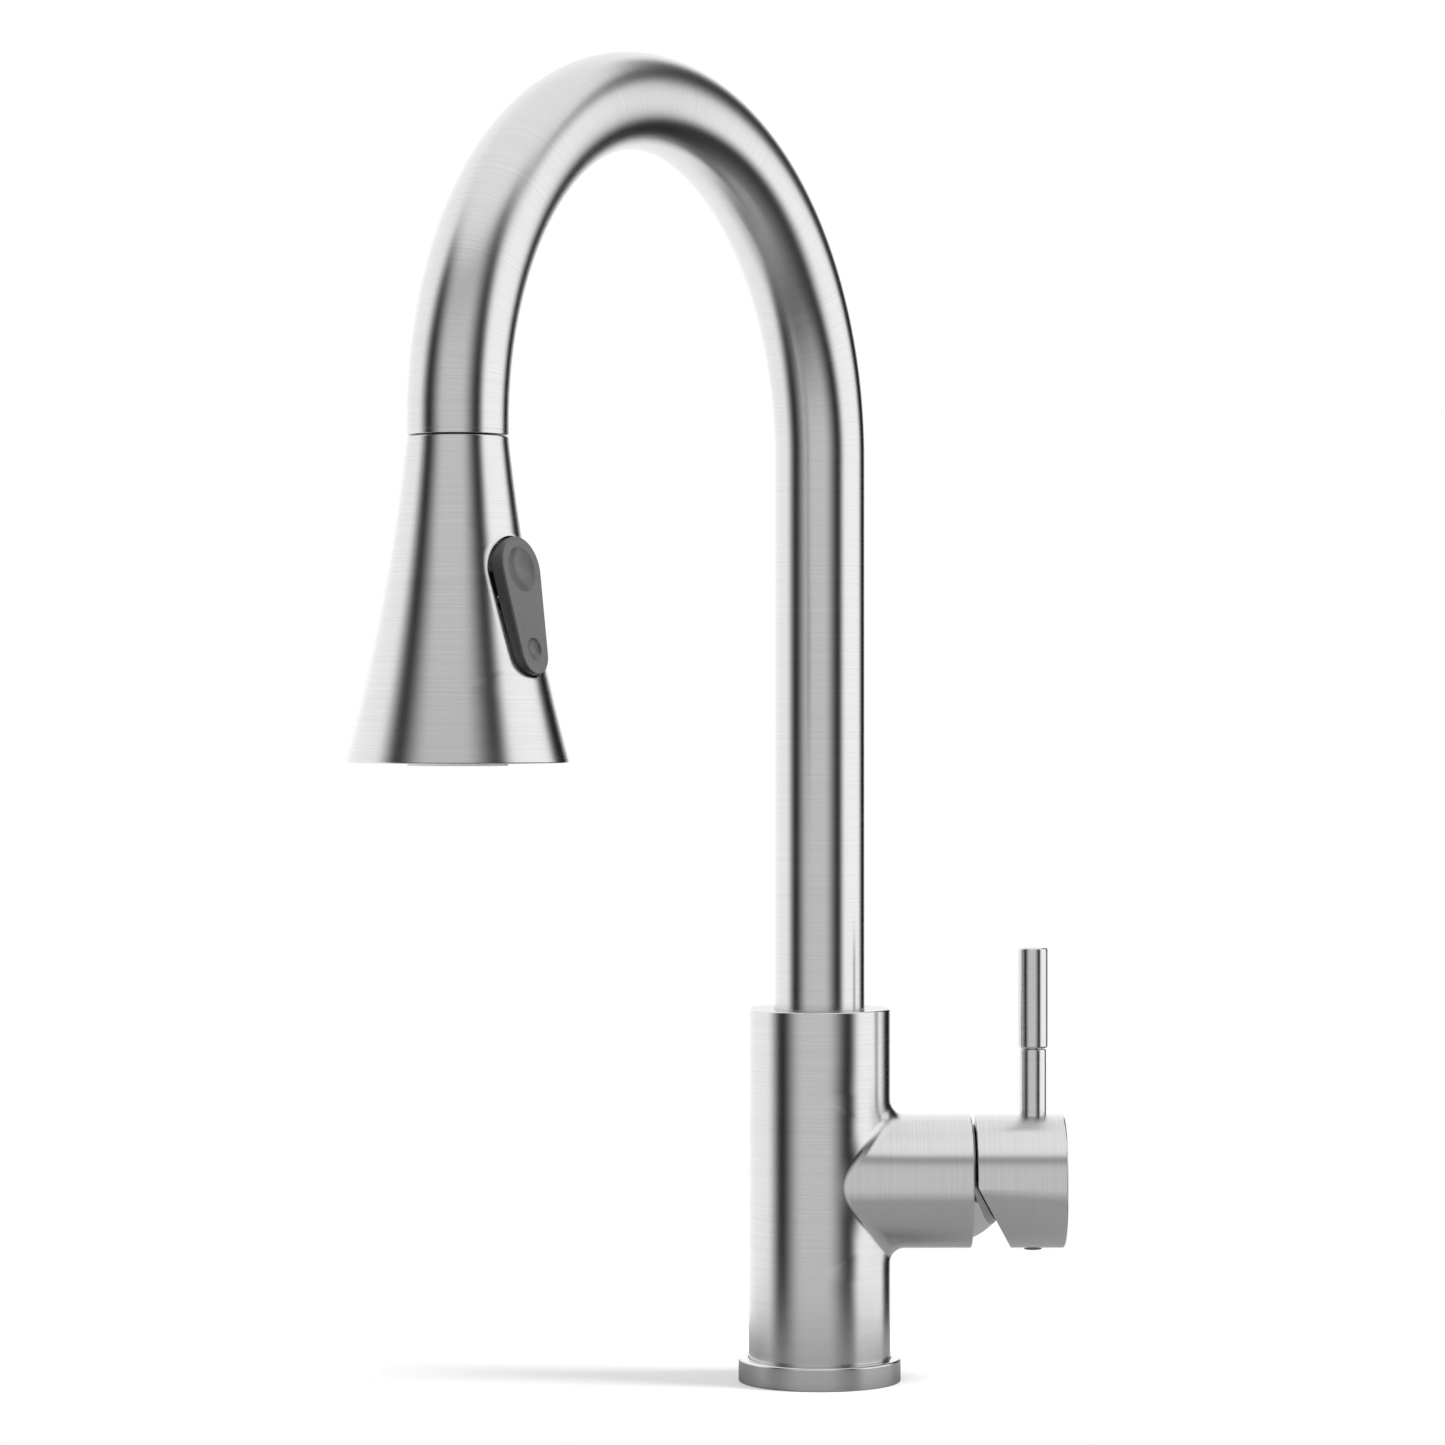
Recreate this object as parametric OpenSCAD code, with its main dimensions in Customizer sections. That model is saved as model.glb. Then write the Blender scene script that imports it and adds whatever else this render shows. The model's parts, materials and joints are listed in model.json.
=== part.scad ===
// Pull-down kitchen faucet: column body with a side valve and lever, a high
// arched spout that swivels, and a flared spray head that docks on its end.
// Origin: on the body's axis at the deck surface. +Z is up, -Y faces the user
// and +X is the handle's side. The spout is shown turned towards -X.

/* [Body] */
// Diameter of the body column
body_d = 44; // [43:0.5:54]
// Height of the body's top face above the deck
body_top = 115.6; // [114.6:0.2:160]
// Wall of the body column around its main bore
body_wall = 3; // [2.4:0.1:3.4]
// Diameter of the base ring
base_d = 50.4; // [49.5:0.1:62]
// Height of the base ring
base_h = 7.2; // [5.6:0.2:10]
// Thickness of the rubber gasket under the base ring
gasket_t = 1.4; // [1:0.1:2]
// Outer diameter of the shank below the deck
shank_d = 32; // [28:0.5:33]
// Wall of the shank
shank_wall = 2; // [1.5:0.1:3]
// Length of the shank below the deck
shank_len = 58; // [40:1:80]

/* [Valve] */
// Height of the valve's axis above the deck
valve_z = 62; // [54:0.5:63]
// Diameter of the side boss and of the handle cap
boss_d = 41.6; // [39.6:0.1:42.4]
// Distance of the boss's end face from the body's axis
boss_end = 47; // [45:0.5:54]
// Radius of the dome between the boss and the handle cap
dome_r = 19; // [18.6:0.1:19.4]
// Depth of the dome's centre, the handle's pivot, inside the boss
pivot_in = 6.5; // [6:0.1:7.5]
// Depth of the cartridge's seat from the body's axis
seat_x = 8.5; // [8.2:0.1:9.5]

/* [Handle] */
// Gap between the boss and the handle cap
cap_gap = 1.2; // [1:0.1:2]
// Length of the handle cap
cap_len = 27.7; // [25:0.1:34]
// Slope of the cap's underside cut, measured from vertical
cut_angle = 28.4; // [26:0.2:36]
// Diameter of the lever rod
lever_d = 8.3; // [7:0.1:9.5]
// Diameter of the grip on the lever rod
grip_d = 9.2; // [8.6:0.1:14]
// Length of the grip
grip_len = 31.2; // [20:0.2:45]
// Height of the lever's top above the valve's axis
lever_h = 72.5; // [60:0.5:95]
// Distance of the lever's axis from the cap's outer end
lever_in = 9.6; // [8:0.1:11]

/* [Spout] */
// Diameter of the spout tube
tube_d = 28; // [27:0.2:30]
// Wall of the spout tube
tube_wall = 1.5; // [1:0.1:1.8]
// Distance from the body's axis to the spray head's axis
reach = 197.4; // [180:0.2:260]
// Height at which the arch springs from both legs
spring_z = 286.4; // [250:0.2:360]
// Turn of the spout towards the side away from the handle
spout_turn = 31.2; // [0:0.1:60]
// Outer diameter of the spray hose
hose_d = 11; // [9:0.2:11.6]

/* [Spray head] */
// Length of the spray head from its seam to its rim
head_len = 88.7; // [84:0.1:110]
// Diameter of the spray head's rim
rim_d = 61.3; // [56:0.1:72]
// Wall of the spray head's shell
shell_wall = 2; // [1.5:0.1:2.4]
// Distance of the spray head's seam below the arch's springing line
dock_drop = 4.2; // [3.8:0.1:8]
// Slope of the head's side just below its seam
flare_start = 6.2; // [5:0.1:7]
// Diameter of the stream insert in the nozzle face
insert_d = 27.5; // [26.5:0.1:29]

/* [Rocker] */
// Depth of the rocker's middle below the seam
rocker_drop = 46.5; // [45:0.1:50]
// Length of the rocker along the head
rocker_len = 38.1; // [34:0.1:42]
// Width of the rocker's broad upper end
rocker_top_w = 18; // [16.4:0.1:19]
// Width of the rocker's narrow lower end
rocker_foot_w = 12.6; // [11.6:0.1:14]
// Height of the rocker's face above the head
rocker_proud = 2.2; // [1.6:0.1:3]

/* [Fits] */
// Radial clearance of a running fit
run_fit = 0.08; // [0.03:0.01:0.1]
// Gap between parts that move past each other
move_gap = 0.4; // [0.3:0.05:0.5]
// Gap around parts that only lie in each other
lay_gap = 0.1; // [0.05:0.01:0.2]

/* [Hidden] */
$fn = 96;
cut = 1;          // how far a cutting tool runs past the surface that it opens
chamfer = 0.5;    // edge break on the turned metal parts

// Body and what it stands on
body_r = body_d / 2;
bore_r = body_r - body_wall;
base_r = base_d / 2;
foot_z = gasket_t + 1.8;
shank_r = shank_d / 2;
shank_bore_r = shank_r - shank_wall;
deck_bore_r = shank_r + 1.2;
flange_top = foot_z + 6;
lip_h = 2.1;
bush_h = 9.5;
bush_t = 2;
oring_r = 0.95;
oring_pitch = 2.6;

// Tube, its seat in the body and its foot
tube_r = tube_d / 2;
tube_in_r = tube_r - tube_wall;
bush_bore_r = tube_r + bush_t + lay_gap;
foot_h = 5.2;
foot_gap = 1;
foot_bore_r = 10;
clip_t = 1;
clip_drop = 0.8;
clip_bite = 1.4;
clip_r = bore_r - 0.8;

// Valve: everything lies along the +X axis at valve_z
boss_r = boss_d / 2;
pivot_x = boss_end - pivot_in;
cart_r = dome_r - 2;
pocket_r = cart_r + 0.2;
boss_bore_r = cart_r + 0.6;
block_top = valve_z + pocket_r + 2;
step_z = block_top + foot_gap + foot_h;
clip_top = step_z - clip_drop;
skirt_r = dome_r - 0.6;
mouth_r = skirt_r + 0.2;
dome_wall = 1.6;
dome_hole_r = 12.6;
base_t = 5;
disc_t = 4;
disc_gap = 0.05;
moving_t = 3;
arm_len = 16.5;
ball_r = 2.5;
ball_x = pivot_x - arm_len;
disc_x = seat_x + base_t;
moving_x = disc_x + disc_t + disc_gap;
carrier_x = moving_x + moving_t;
pocket_floor = ball_x - ball_r - 0.3;
carrier_end = ball_x + ball_r + 0.1;
housing_end = pivot_x - 7.5;
housing_wall = 3;
nut_t = 4;
nut_end = housing_end + nut_t;
rotor_r = 9;
rotor_flange_r = 12;
rotor_end = pivot_x + 3;
slot_half = 3.2;
blade_half = 3;
pin_r = 1.5;
port_y = 10.5;
port_r = 3.2;
port_x = 3;
disc_r = 14;
moving_r = 7.5;
travel_half = 3.5;
slot_reach = 9.3;
socket_wall = 1.3;

// Handle
stem_r = 4;
cap_x = boss_end + cap_gap;
cap_end = cap_x + cap_len;
stem_end = cap_end - 4;
lever_x = cap_end - lever_in;
lever_r = lever_d / 2;
grip_r = grip_d / 2;
lever_foot = stem_r + 4;
grip_z = valve_z + lever_h - grip_len;
tang_r = lever_r - 1.15;
screw_r = 2;
plug_r = 2.8;
plug_proud = 0.5;
plug_deep = 4.5;
cavity_r = dome_r + 0.7;

// Dock and hose
arch_r = reach / 2;
hose_r = hose_d / 2;
head_top = spring_z - dock_drop;
dock_gap = 0.4;
dock_flange = 1.3;
tube_end = head_top + dock_gap + dock_flange;
spigot_r = 8.6;
spigot_h = 8;
dock_bore_r = spigot_r + move_gap;
collar_r = tube_in_r - 0.4;
collar_top = head_top + 11.7;
coupling_end = -shank_len - 6;

// Spray head: heights are depths below its seam
neck_h = 1;
flare_h = head_len - neck_h;
flare_w = rim_d / 2 - tube_r;
flare_r = (flare_w * flare_w + flare_h * flare_h)
    / (2 * (flare_w * cos(flare_start) - flare_h * sin(flare_start)));
flare_x = tube_r + flare_r * cos(flare_start);
flare_z = flare_r * sin(flare_start) - neck_h;
top_wall = 2;
armature_t = 1.8;
neck_r = 11.3;
neck_bore_r = 7.2;
neck_foot = 26;
ferrule_r = 6.8;
ferrule_top = 16;
stud_r = 5;
stud_foot = 38;
washer_top = stud_foot + 0.3;
washer_foot = washer_top + 1.6;
check_foot = washer_foot + 11;
core_r = 12.5;
core_flat = 12;
plate_foot = head_len - 1;
plate_top = plate_foot - 4.7;
mat_top = plate_top - 1.4;
core_flange_top = mat_top - 4.6;
insert_r = insert_d / 2;
insert_proud = 0.75;
insert_top = head_len - 9.7;
aerator_r = 10.4;

// Nozzles: rings of [radius, how many]
nozzle_rings = [[17.4, 16], [20.9, 20], [24.3, 24]];
nozzle_r = 0.85;
nozzle_hole_r = nozzle_r + lay_gap;

// Rocker and diverter
function head_r(d) = flare_x - sqrt(flare_r * flare_r - (d + flare_z) * (d + flare_z));
function head_slope(d) = asin((d + flare_z) / flare_r);
core_flange_r = head_r(core_flange_top) - shell_wall - 1.1;
mat_r = head_r(mat_top) - shell_wall - 0.75;
rocker_r = head_r(rocker_drop);
rocker_lean = head_slope(rocker_drop);
pin_in = 3.55;
rocker_pin_x = rocker_r - pin_in;
rocker_pin_r = 1;
rocker_skin = 1.8;
rocker_skirt = 2.7;
rocker_rim = 1.4;
window_gap = move_gap + 0.05;
spool_x = 8.3;
spool_r = 2.5;
spool_half = 13;
spring_h = 4;
arm_r = 1.2;
ear_in = 3.7;
ear_out = 5.7;
lug_half = 3.4;
frame_end = rocker_pin_x - 2.9;

// ---- Shared shapes ----

// Ring about the Z axis between two heights
module ring(r_out, r_in, low, high) {
    translate([0, 0, low]) difference() {
        cylinder(r = r_out, h = high - low);
        translate([0, 0, -cut]) cylinder(r = r_in, h = high - low + 2 * cut);
    }
}

// Disc or shaft about the Z axis between two heights
module shaft(r, low, high) {
    translate([0, 0, low]) cylinder(r = r, h = high - low);
}

// Shaft with a broken edge at its upper end and, if asked for, its lower end
module turned(r, low, high, low_edge = 0) {
    rotate_extrude() polygon([[0, low], [r - low_edge, low], [r, low + low_edge],
        [r, high - chamfer], [r - chamfer, high], [0, high]]);
}

// Lays a shape built about Z onto the valve's axis, its origin at x
module on_valve(x = 0) {
    translate([x, 0, valve_z]) rotate([0, 90, 0]) children();
}

// Turns the spout's own frame, which reaches along -Y, to where it rests
module in_spout() {
    rotate([0, 0, -spout_turn]) children();
}

// The spray head's frame: its axis, with the seam at zero and depths negative
module in_head() {
    in_spout() translate([0, -reach, head_top]) children();
}

// Pin along Y, centred
module cross_pin(r, half) {
    rotate([90, 0, 0]) translate([0, 0, -half]) cylinder(r = r, h = 2 * half);
}

// Block given by its low and high corners
module block(low, high) {
    translate(low) cube(high - low);
}

// Arch and both legs of a round tube, from the low leg's end to the dock's end
module arch(r_out, r_in, leg_end, dock_end) {
    translate([0, -arch_r, spring_z]) rotate([90, 0, 90])
        rotate_extrude(angle = 180) translate([arch_r, 0]) difference() {
            circle(r = r_out);
            if (r_in > 0) circle(r = r_in);
        }
    for (leg = [[0, leg_end], [-reach, dock_end]]) translate([0, leg[0], 0])
        if (spring_z - leg[1] > 0.001) {
            if (r_in > 0) ring(r_out, r_in, leg[1], spring_z);
            else shaft(r_out, leg[1], spring_z);
        }
}

// Half section of the spray head, drawn in from its skin
module head_section(inset) {
    intersection() {
        translate([0, -neck_h]) square([tube_r - inset, neck_h]);
        translate([0, -neck_h]) square([tube_r, neck_h]);
    }
    difference() {
        translate([0, -head_len]) square([rim_d, head_len - neck_h]);
        translate([flare_x, flare_z]) circle(r = flare_r + inset, $fn = 720);
    }
}

// Rounded outline of the rocker, grown by a margin
module rocker_outline(margin = 0) {
    top_r = rocker_top_w / 2;
    foot_r = rocker_foot_w / 2;
    top_y = rocker_len / 2 - top_r;
    foot_y = foot_r - rocker_len / 2;
    side = asin((top_r - foot_r) / (top_y - foot_y));
    tr = top_r + margin;
    fr = foot_r + margin;
    translate([0, top_y]) circle(r = tr);
    translate([0, foot_y]) circle(r = fr);
    polygon([[tr * cos(side), top_y - tr * sin(side)], [fr * cos(side), foot_y - fr * sin(side)],
        [-fr * cos(side), foot_y - fr * sin(side)], [-tr * cos(side), top_y - tr * sin(side)]]);
}

// Slab of the rocker's outline, lying on the head's flank between two heights
module rocker_slab(low, high, margin = 0) {
    translate([rocker_r, 0, -rocker_drop]) rotate([0, -rocker_lean, 0])
        rotate([90, 0, 90]) translate([0, 0, low])
            linear_extrude(high - low) rocker_outline(margin);
}

// Round dish sunk into the rocker's face, at a height along it
module rocker_dish(along, width, depth) {
    dish_r = (width * width / 4 + depth * depth) / (2 * depth);
    translate([rocker_r, 0, -rocker_drop]) rotate([0, -rocker_lean, 0])
        translate([rocker_proud - depth + dish_r, 0, along]) sphere(r = dish_r, $fn = 180);
}

// ---- Body ----

module base_ring() color("silver") difference() {
    turned(base_r, 0, base_h);
    shaft(deck_bore_r, -cut, base_h + cut);
    shaft(body_r + 0.25, foot_z, base_h + cut);
    shaft(body_r, -cut, gasket_t);
}

module deck_gasket() color("dimgray")
    ring(body_r - lay_gap, deck_bore_r + lay_gap, 0, gasket_t);

module shank() color("goldenrod") {
    difference() {
        union() {
            shaft(shank_r, -shank_len, foot_z);
            shaft(bore_r - lay_gap, foot_z, flange_top);
        }
        shaft(shank_bore_r, -shank_len - cut, flange_top + cut);
    }
}

module faucet_body() color("silver") difference() {
    union() {
        turned(body_r, foot_z, body_top);
        on_valve() turned(boss_r, 0, boss_end);
    }
    shaft(bore_r, foot_z - cut, step_z);
    shaft(bush_bore_r, step_z - cut, body_top - lip_h);
    shaft(tube_r + 0.3, step_z, body_top + cut);
    on_valve() shaft(boss_bore_r, 0, boss_end + cut);
    on_valve() shaft(mouth_r, housing_end, boss_end + cut);
}

module valve_block() color("goldenrod") difference() {
    shaft(bore_r - 0.3, flange_top, block_top);
    shaft(hose_r + 1.3, 0, body_top);
    on_valve(seat_x) shaft(pocket_r, 0, body_r);
    for (side = [-1, 1]) {
        translate([port_x, side * port_y, 0]) shaft(port_r, 0, valve_z);
        translate([port_x, side * port_y, valve_z]) rotate([0, 90, 0]) shaft(port_r, 0, seat_x);
    }
    translate([seat_x + port_r + 1.4, 0, 0]) shaft(port_r - 0.4, 0, valve_z);
}

module swivel_bush(low) {
    ring(tube_r + bush_t, tube_r + run_fit, low, low + bush_h);
}

module swivel_bush_upper() color("whitesmoke") swivel_bush(body_top - lip_h - bush_h);

module swivel_bush_lower() color("whitesmoke") swivel_bush(step_z);

module spout_orings() color("black")
    for (side = [-1, 1]) translate([0, 0, (step_z + body_top - lip_h) / 2 + side * oring_pitch / 2])
        rotate_extrude() translate([tube_r + 0.05 + oring_r, 0]) circle(r = oring_r);

// ---- Valve cartridge ----

module inlet_seals() color("black")
    for (side = [-1, 1]) translate([0, side * port_y, 0])
        on_valve(seat_x) ring(port_r + 1.5, port_r, 0, 1.1);

module cartridge_base() color("lightgray") difference() {
    on_valve(seat_x) shaft(cart_r, 0, base_t);
    for (side = [-1, 1]) translate([0, side * port_y, 0]) on_valve(seat_x) {
        shaft(port_r, -cut, base_t + cut);
        shaft(port_r + 1.5 + lay_gap, -cut, 1.1);
    }
    translate([seat_x + port_r + 1.4, 0, 0]) shaft(port_r - 0.4, valve_z - pocket_r - cut, valve_z - 6);
    translate([0, 0, -6 - port_r]) on_valve(seat_x + 1.6) shaft(port_r - 0.4, 0, base_t);
}

module fixed_disc() color("ivory") difference() {
    on_valve(disc_x) shaft(disc_r, 0, disc_t);
    for (side = [-1, 1]) translate([0, side * port_y, 0])
        on_valve(disc_x) shaft(2.4, -cut, disc_t + cut);
    translate([0, 0, -6 - port_r]) on_valve(disc_x) shaft(2.4, -cut, disc_t + cut);
}

module cartridge_housing() color("lightgray") on_valve() {
    ring(cart_r, disc_r + 0.6, disc_x, housing_end - housing_wall);
    ring(cart_r, rotor_r + run_fit, housing_end - housing_wall, housing_end);
}

module cartridge_nut() color("goldenrod") on_valve() difference() {
    ring(boss_bore_r - lay_gap, rotor_r + 1.2, housing_end, nut_end);
    for (turn = [0:60:300]) rotate([0, 0, turn]) translate([boss_bore_r - 2.5, 0, nut_end - 1.5])
        cylinder(r = 1.2, h = 1.5 + cut);
}

module bonnet() color("gainsboro") on_valve(pivot_x) rotate_extrude($fn = 180) difference() {
    union() {
        translate([0, nut_end - pivot_x]) square([skirt_r, pivot_x - nut_end]);
        intersection() {
            circle(r = dome_r);
            square([skirt_r, dome_r]);
        }
    }
    intersection() {
        circle(r = dome_r - dome_wall);
        square([dome_r, dome_r]);
    }
    translate([-cut, nut_end - pivot_x - cut]) square([skirt_r - dome_wall + cut, pivot_x - nut_end + 2 * cut]);
    translate([-cut, 0]) square([dome_hole_r + cut, dome_r + cut]);
}

module stem_carrier() color("lightgray") difference() {
    on_valve() {
        shaft(rotor_flange_r, carrier_end + 1, housing_end - housing_wall - 0.3);
        shaft(rotor_r, carrier_end + 1, rotor_end);
    }
    block([carrier_end, -slot_half, valve_z - slot_reach], [housing_end, slot_half, valve_z + slot_reach]);
    block([housing_end - housing_wall, -slot_half, valve_z - 2 * rotor_r],
        [rotor_end + cut, slot_half, valve_z + 2 * rotor_r]);
    translate([pivot_x, 0, valve_z]) cross_pin(pin_r, 2 * rotor_r);
}

module stem_pin() color("silver")
    translate([pivot_x, 0, valve_z]) cross_pin(pin_r - 0.02, rotor_r - 1.2);

module moving_disc() color("ivory") translate([0, 0, -travel_half])
    on_valve(moving_x) shaft(moving_r, 0, moving_t);

module disc_carrier() color("lightgray") difference() {
    union() {
        translate([0, 0, -travel_half]) on_valve(carrier_x) shaft(moving_r, 0, pocket_floor - carrier_x);
        on_valve(carrier_x) shaft(ball_r + socket_wall, 0, carrier_end - carrier_x);
    }
    on_valve(pocket_floor) shaft(ball_r + 0.35, 0, arm_len);
}

// ---- Handle ----

module stem() color("silver") difference() {
    union() {
        translate([ball_x, 0, valve_z]) sphere(r = ball_r);
        on_valve(ball_x) shaft(1.8, 0, arm_len);
        intersection() {
            union() {
                translate([pivot_x, 0, valve_z]) cross_pin(5, blade_half);
                on_valve(pivot_x) shaft(stem_r, 0, 6);
            }
            block([0, -blade_half, 0], [cap_end, blade_half, body_top]);
        }
        on_valve(pivot_x + 5) shaft(stem_r, 0, stem_end - pivot_x - 5);
    }
    translate([pivot_x, 0, valve_z]) cross_pin(pin_r + 0.04, body_r);
}

module handle_cap() color("silver") difference() {
    on_valve() turned(boss_r, cap_x, cap_end, 0.3);
    translate([pivot_x, 0, valve_z]) sphere(r = cavity_r, $fn = 180);
    on_valve() shaft(stem_r + lay_gap, pivot_x, stem_end);
    translate([0, boss_d, valve_z]) rotate([90, 0, 0]) linear_extrude(2 * boss_d)
        polygon([[0, 0], [cap_x, 0], [cap_x + boss_d * tan(cut_angle), -boss_d], [0, -boss_d]]);
    translate([lever_x, 0, 0]) {
        shaft(lever_r + lay_gap, valve_z + lever_foot, valve_z + boss_d);
        shaft(screw_r + lay_gap, valve_z - boss_d, valve_z);
        shaft(plug_r + lay_gap, valve_z - boss_d, valve_z - boss_r + plug_deep);
    }
}

module lever_rod() color("silver") translate([lever_x, 0, 0]) {
    shaft(lever_r, valve_z + lever_foot, grip_z - 0.3);
    shaft(tang_r, valve_z + lever_foot, grip_z + grip_len - 4);
}

module lever_grip() color("silver") translate([lever_x, 0, 0]) difference() {
    turned(grip_r, grip_z, grip_z + grip_len, 0.5);
    shaft(tang_r + lay_gap, grip_z - cut, grip_z + grip_len - 3.9);
}

module set_screw() color("dimgray") translate([lever_x, 0, valve_z - stem_r]) difference() {
    shaft(screw_r, -9, 0);
    translate([0, 0, -9 - cut]) cylinder(r = 1.15, h = 3 + cut, $fn = 6);
}

module screw_plug() color("gray") translate([lever_x, 0, valve_z - boss_r])
    shaft(plug_r, -plug_proud, plug_deep - 0.2);

// ---- Spout ----

module spout_tube() color("silver") in_spout()
    arch(tube_r, tube_in_r, step_z, tube_end);

module spout_foot() color("goldenrod") difference() {
    union() {
        shaft(tube_r + bush_t - lay_gap, step_z - foot_h, step_z);
        shaft(tube_in_r - lay_gap, step_z, step_z + 8);
    }
    shaft(foot_bore_r, step_z - foot_h - cut, step_z + 8 + cut);
    ring(body_r, tube_r + bush_t - clip_bite, clip_top - clip_t - 0.1, clip_top + 0.1);
}

module retaining_clip() color("dimgray") in_spout() difference() {
    ring(clip_r, tube_r + bush_t - clip_bite + lay_gap, clip_top - clip_t, clip_top);
    block([-5, 0, clip_top - clip_t - cut], [5, body_r, clip_top + cut]);
}

module dock_collar() color("gainsboro") in_spout() translate([0, -reach, 0]) difference() {
    union() {
        shaft(tube_r, head_top + dock_gap, tube_end);
        shaft(collar_r, tube_end, collar_top);
    }
    shaft(dock_bore_r, head_top, collar_top - 1.8);
    shaft(hose_r + 1, head_top, collar_top + cut);
    ring(collar_r - 0.5, dock_bore_r + 0.7, tube_end + 1.4, collar_top + cut);
}

module dock_magnet() color("dimgray") in_spout() translate([0, -reach, 0])
    ring(collar_r - 0.55, dock_bore_r + 0.75, tube_end + 1.4, collar_top);

module hose_guide() color("whitesmoke") in_spout() translate([0, -reach, 0])
    ring(collar_r - 0.3, hose_r + 0.8, collar_top, collar_top + 1.4);

module spray_hose() color("gray") in_spout() arch(hose_r, 0, -shank_len + 6, spring_z);

module hose_coupling() color("goldenrod") {
    shaft(hose_r + 2, coupling_end, -shank_len + 6);
    translate([0, 0, coupling_end - 5]) cylinder(r = hose_r + 1, h = 5, $fn = 6);
}

module hose_run() color("gray") in_head() shaft(hose_r, -ferrule_top, dock_drop);

module hose_ferrule() color("silver") in_head() difference() {
    union() {
        shaft(ferrule_r, -neck_foot + 0.3, -ferrule_top);
        shaft(stud_r, -stud_foot, -neck_foot + 0.3);
    }
    shaft(3, -stud_foot - cut, -ferrule_top - 3);
    ring(body_r, stud_r - 0.9, -stud_foot + 4, -stud_foot + 5.3);
}

module hose_oring() color("black") in_head() translate([0, 0, -stud_foot + 4.65])
    rotate_extrude() translate([stud_r - 0.4, 0]) circle(r = 0.45);

// ---- Spray head ----

module head_shell() color("silver") in_head() difference() {
    rotate_extrude() difference() {
        head_section(0);
        intersection() {
            head_section(shell_wall);
            translate([0, -head_len]) square([rim_d, head_len - top_wall]);
        }
        translate([tube_r - 0.4, 0]) rotate(-45) square(2, center = true);
        translate([rim_d / 2, -head_len]) rotate(50) square(0.6, center = true);
    }
    shaft(spigot_r + 0.2, -top_wall - cut, cut);
    rocker_slab(-2 * pin_in, 3 * rocker_proud, window_gap);
}

module head_neck() color("dimgray") in_head() difference() {
    union() {
        shaft(neck_r, -neck_foot, -top_wall - armature_t);
        shaft(spigot_r, -neck_foot, spigot_h);
    }
    shaft(neck_bore_r, -neck_foot - cut, spigot_h + cut);
}

module armature_ring() color("gray") in_head()
    ring(neck_r, spigot_r + lay_gap, -top_wall - armature_t, -top_wall);

module head_core() color("lightgray") in_head() difference() {
    union() {
        shaft(core_flange_r, -mat_top, -core_flange_top);
        shaft(core_r, -core_flange_top, -neck_foot);
    }
    shaft(stud_r + run_fit, -check_foot, -neck_foot + cut);
    shaft(3, -insert_top, -check_foot + cut);
    shaft(insert_r + lay_gap, -mat_top - cut, -insert_top);
    translate([spool_x, 0, 0])
        shaft(spool_r + 0.05, -rocker_drop - spool_half - spring_h, -neck_foot - 3);
    block([spool_x, -2, -rocker_drop - 3], [2 * core_r, 2, -rocker_drop + 3]);
    block([core_flat, -core_r, -rocker_drop - 10.5], [2 * core_r, core_r, -rocker_drop + 10.5]);
}

module filter_washer() color("black") in_head() ring(stud_r - 0.1, 2.6, -washer_foot, -washer_top);

module check_valve() color("white") in_head() difference() {
    shaft(stud_r - 0.1, -check_foot, -washer_foot);
    shaft(2.2, -check_foot - cut, -check_foot + 4);
    shaft(2.2, -washer_foot - 3, -washer_foot + cut);
}

// One copy at each nozzle's place
module at_nozzles() {
    for (place = nozzle_rings) for (i = [0:place[1] - 1])
        rotate([0, 0, i * 360 / place[1]]) translate([place[0], 0, 0]) children();
}

module nozzle_mat() color("darkgray") in_head() {
    ring(mat_r, insert_r + 0.5, -plate_top, -mat_top);
    at_nozzles() shaft(nozzle_r, -plate_foot - 0.5, -plate_top + 0.2, $fn = 24);
}

module face_plate() color("gray") in_head() difference() {
    rotate_extrude() intersection() {
        head_section(shell_wall + 0.15);
        translate([insert_r + 0.15, -plate_foot]) square([rim_d, plate_foot - plate_top]);
    }
    at_nozzles() shaft(nozzle_hole_r, -plate_foot - cut, -plate_top + cut, $fn = 24);
}

module stream_insert() color("gainsboro") in_head() difference() {
    shaft(insert_r, -head_len - insert_proud, -insert_top);
    shaft(aerator_r + lay_gap, -head_len - insert_proud - cut, -insert_top - 1.7);
    shaft(2.5, -insert_top - 2, -insert_top + cut);
}

module aerator() color("white") in_head() difference() {
    shaft(aerator_r, -head_len - insert_proud + 0.6, -insert_top - 1.7);
    for (row = [-3:3], col = [-3:3]) if (abs(row + col) <= 3)
        translate([2.7 * (col + row / 2), 2.7 * row * sqrt(3) / 2, 0])
            shaft(0.9, -head_len - cut, -insert_top, $fn = 24);
}

module rocker_frame() color("dimgray") in_head() difference() {
    union() {
        block([core_flat, -6.6, -rocker_drop - 9.5], [frame_end, 6.6, -rocker_drop + 9.5]);
        for (side = [-1, 1]) translate([0, side * (ear_in + ear_out) / 2, -rocker_drop]) {
            translate([rocker_pin_x, 0, 0]) cross_pin(2.4, (ear_out - ear_in) / 2);
            block([core_flat, (ear_in - ear_out) / 2, -2.4], [rocker_pin_x, (ear_out - ear_in) / 2, 2.4]);
        }
    }
    block([0, -2, -rocker_drop - 3], [frame_end + 0.1, 2, -rocker_drop + 3]);
    translate([rocker_pin_x, 0, -rocker_drop]) cross_pin(rocker_pin_r + 0.02, ear_out + cut);
}

module rocker_pin() color("silver") in_head()
    translate([rocker_pin_x, 0, -rocker_drop]) cross_pin(rocker_pin_r, ear_out);

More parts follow.
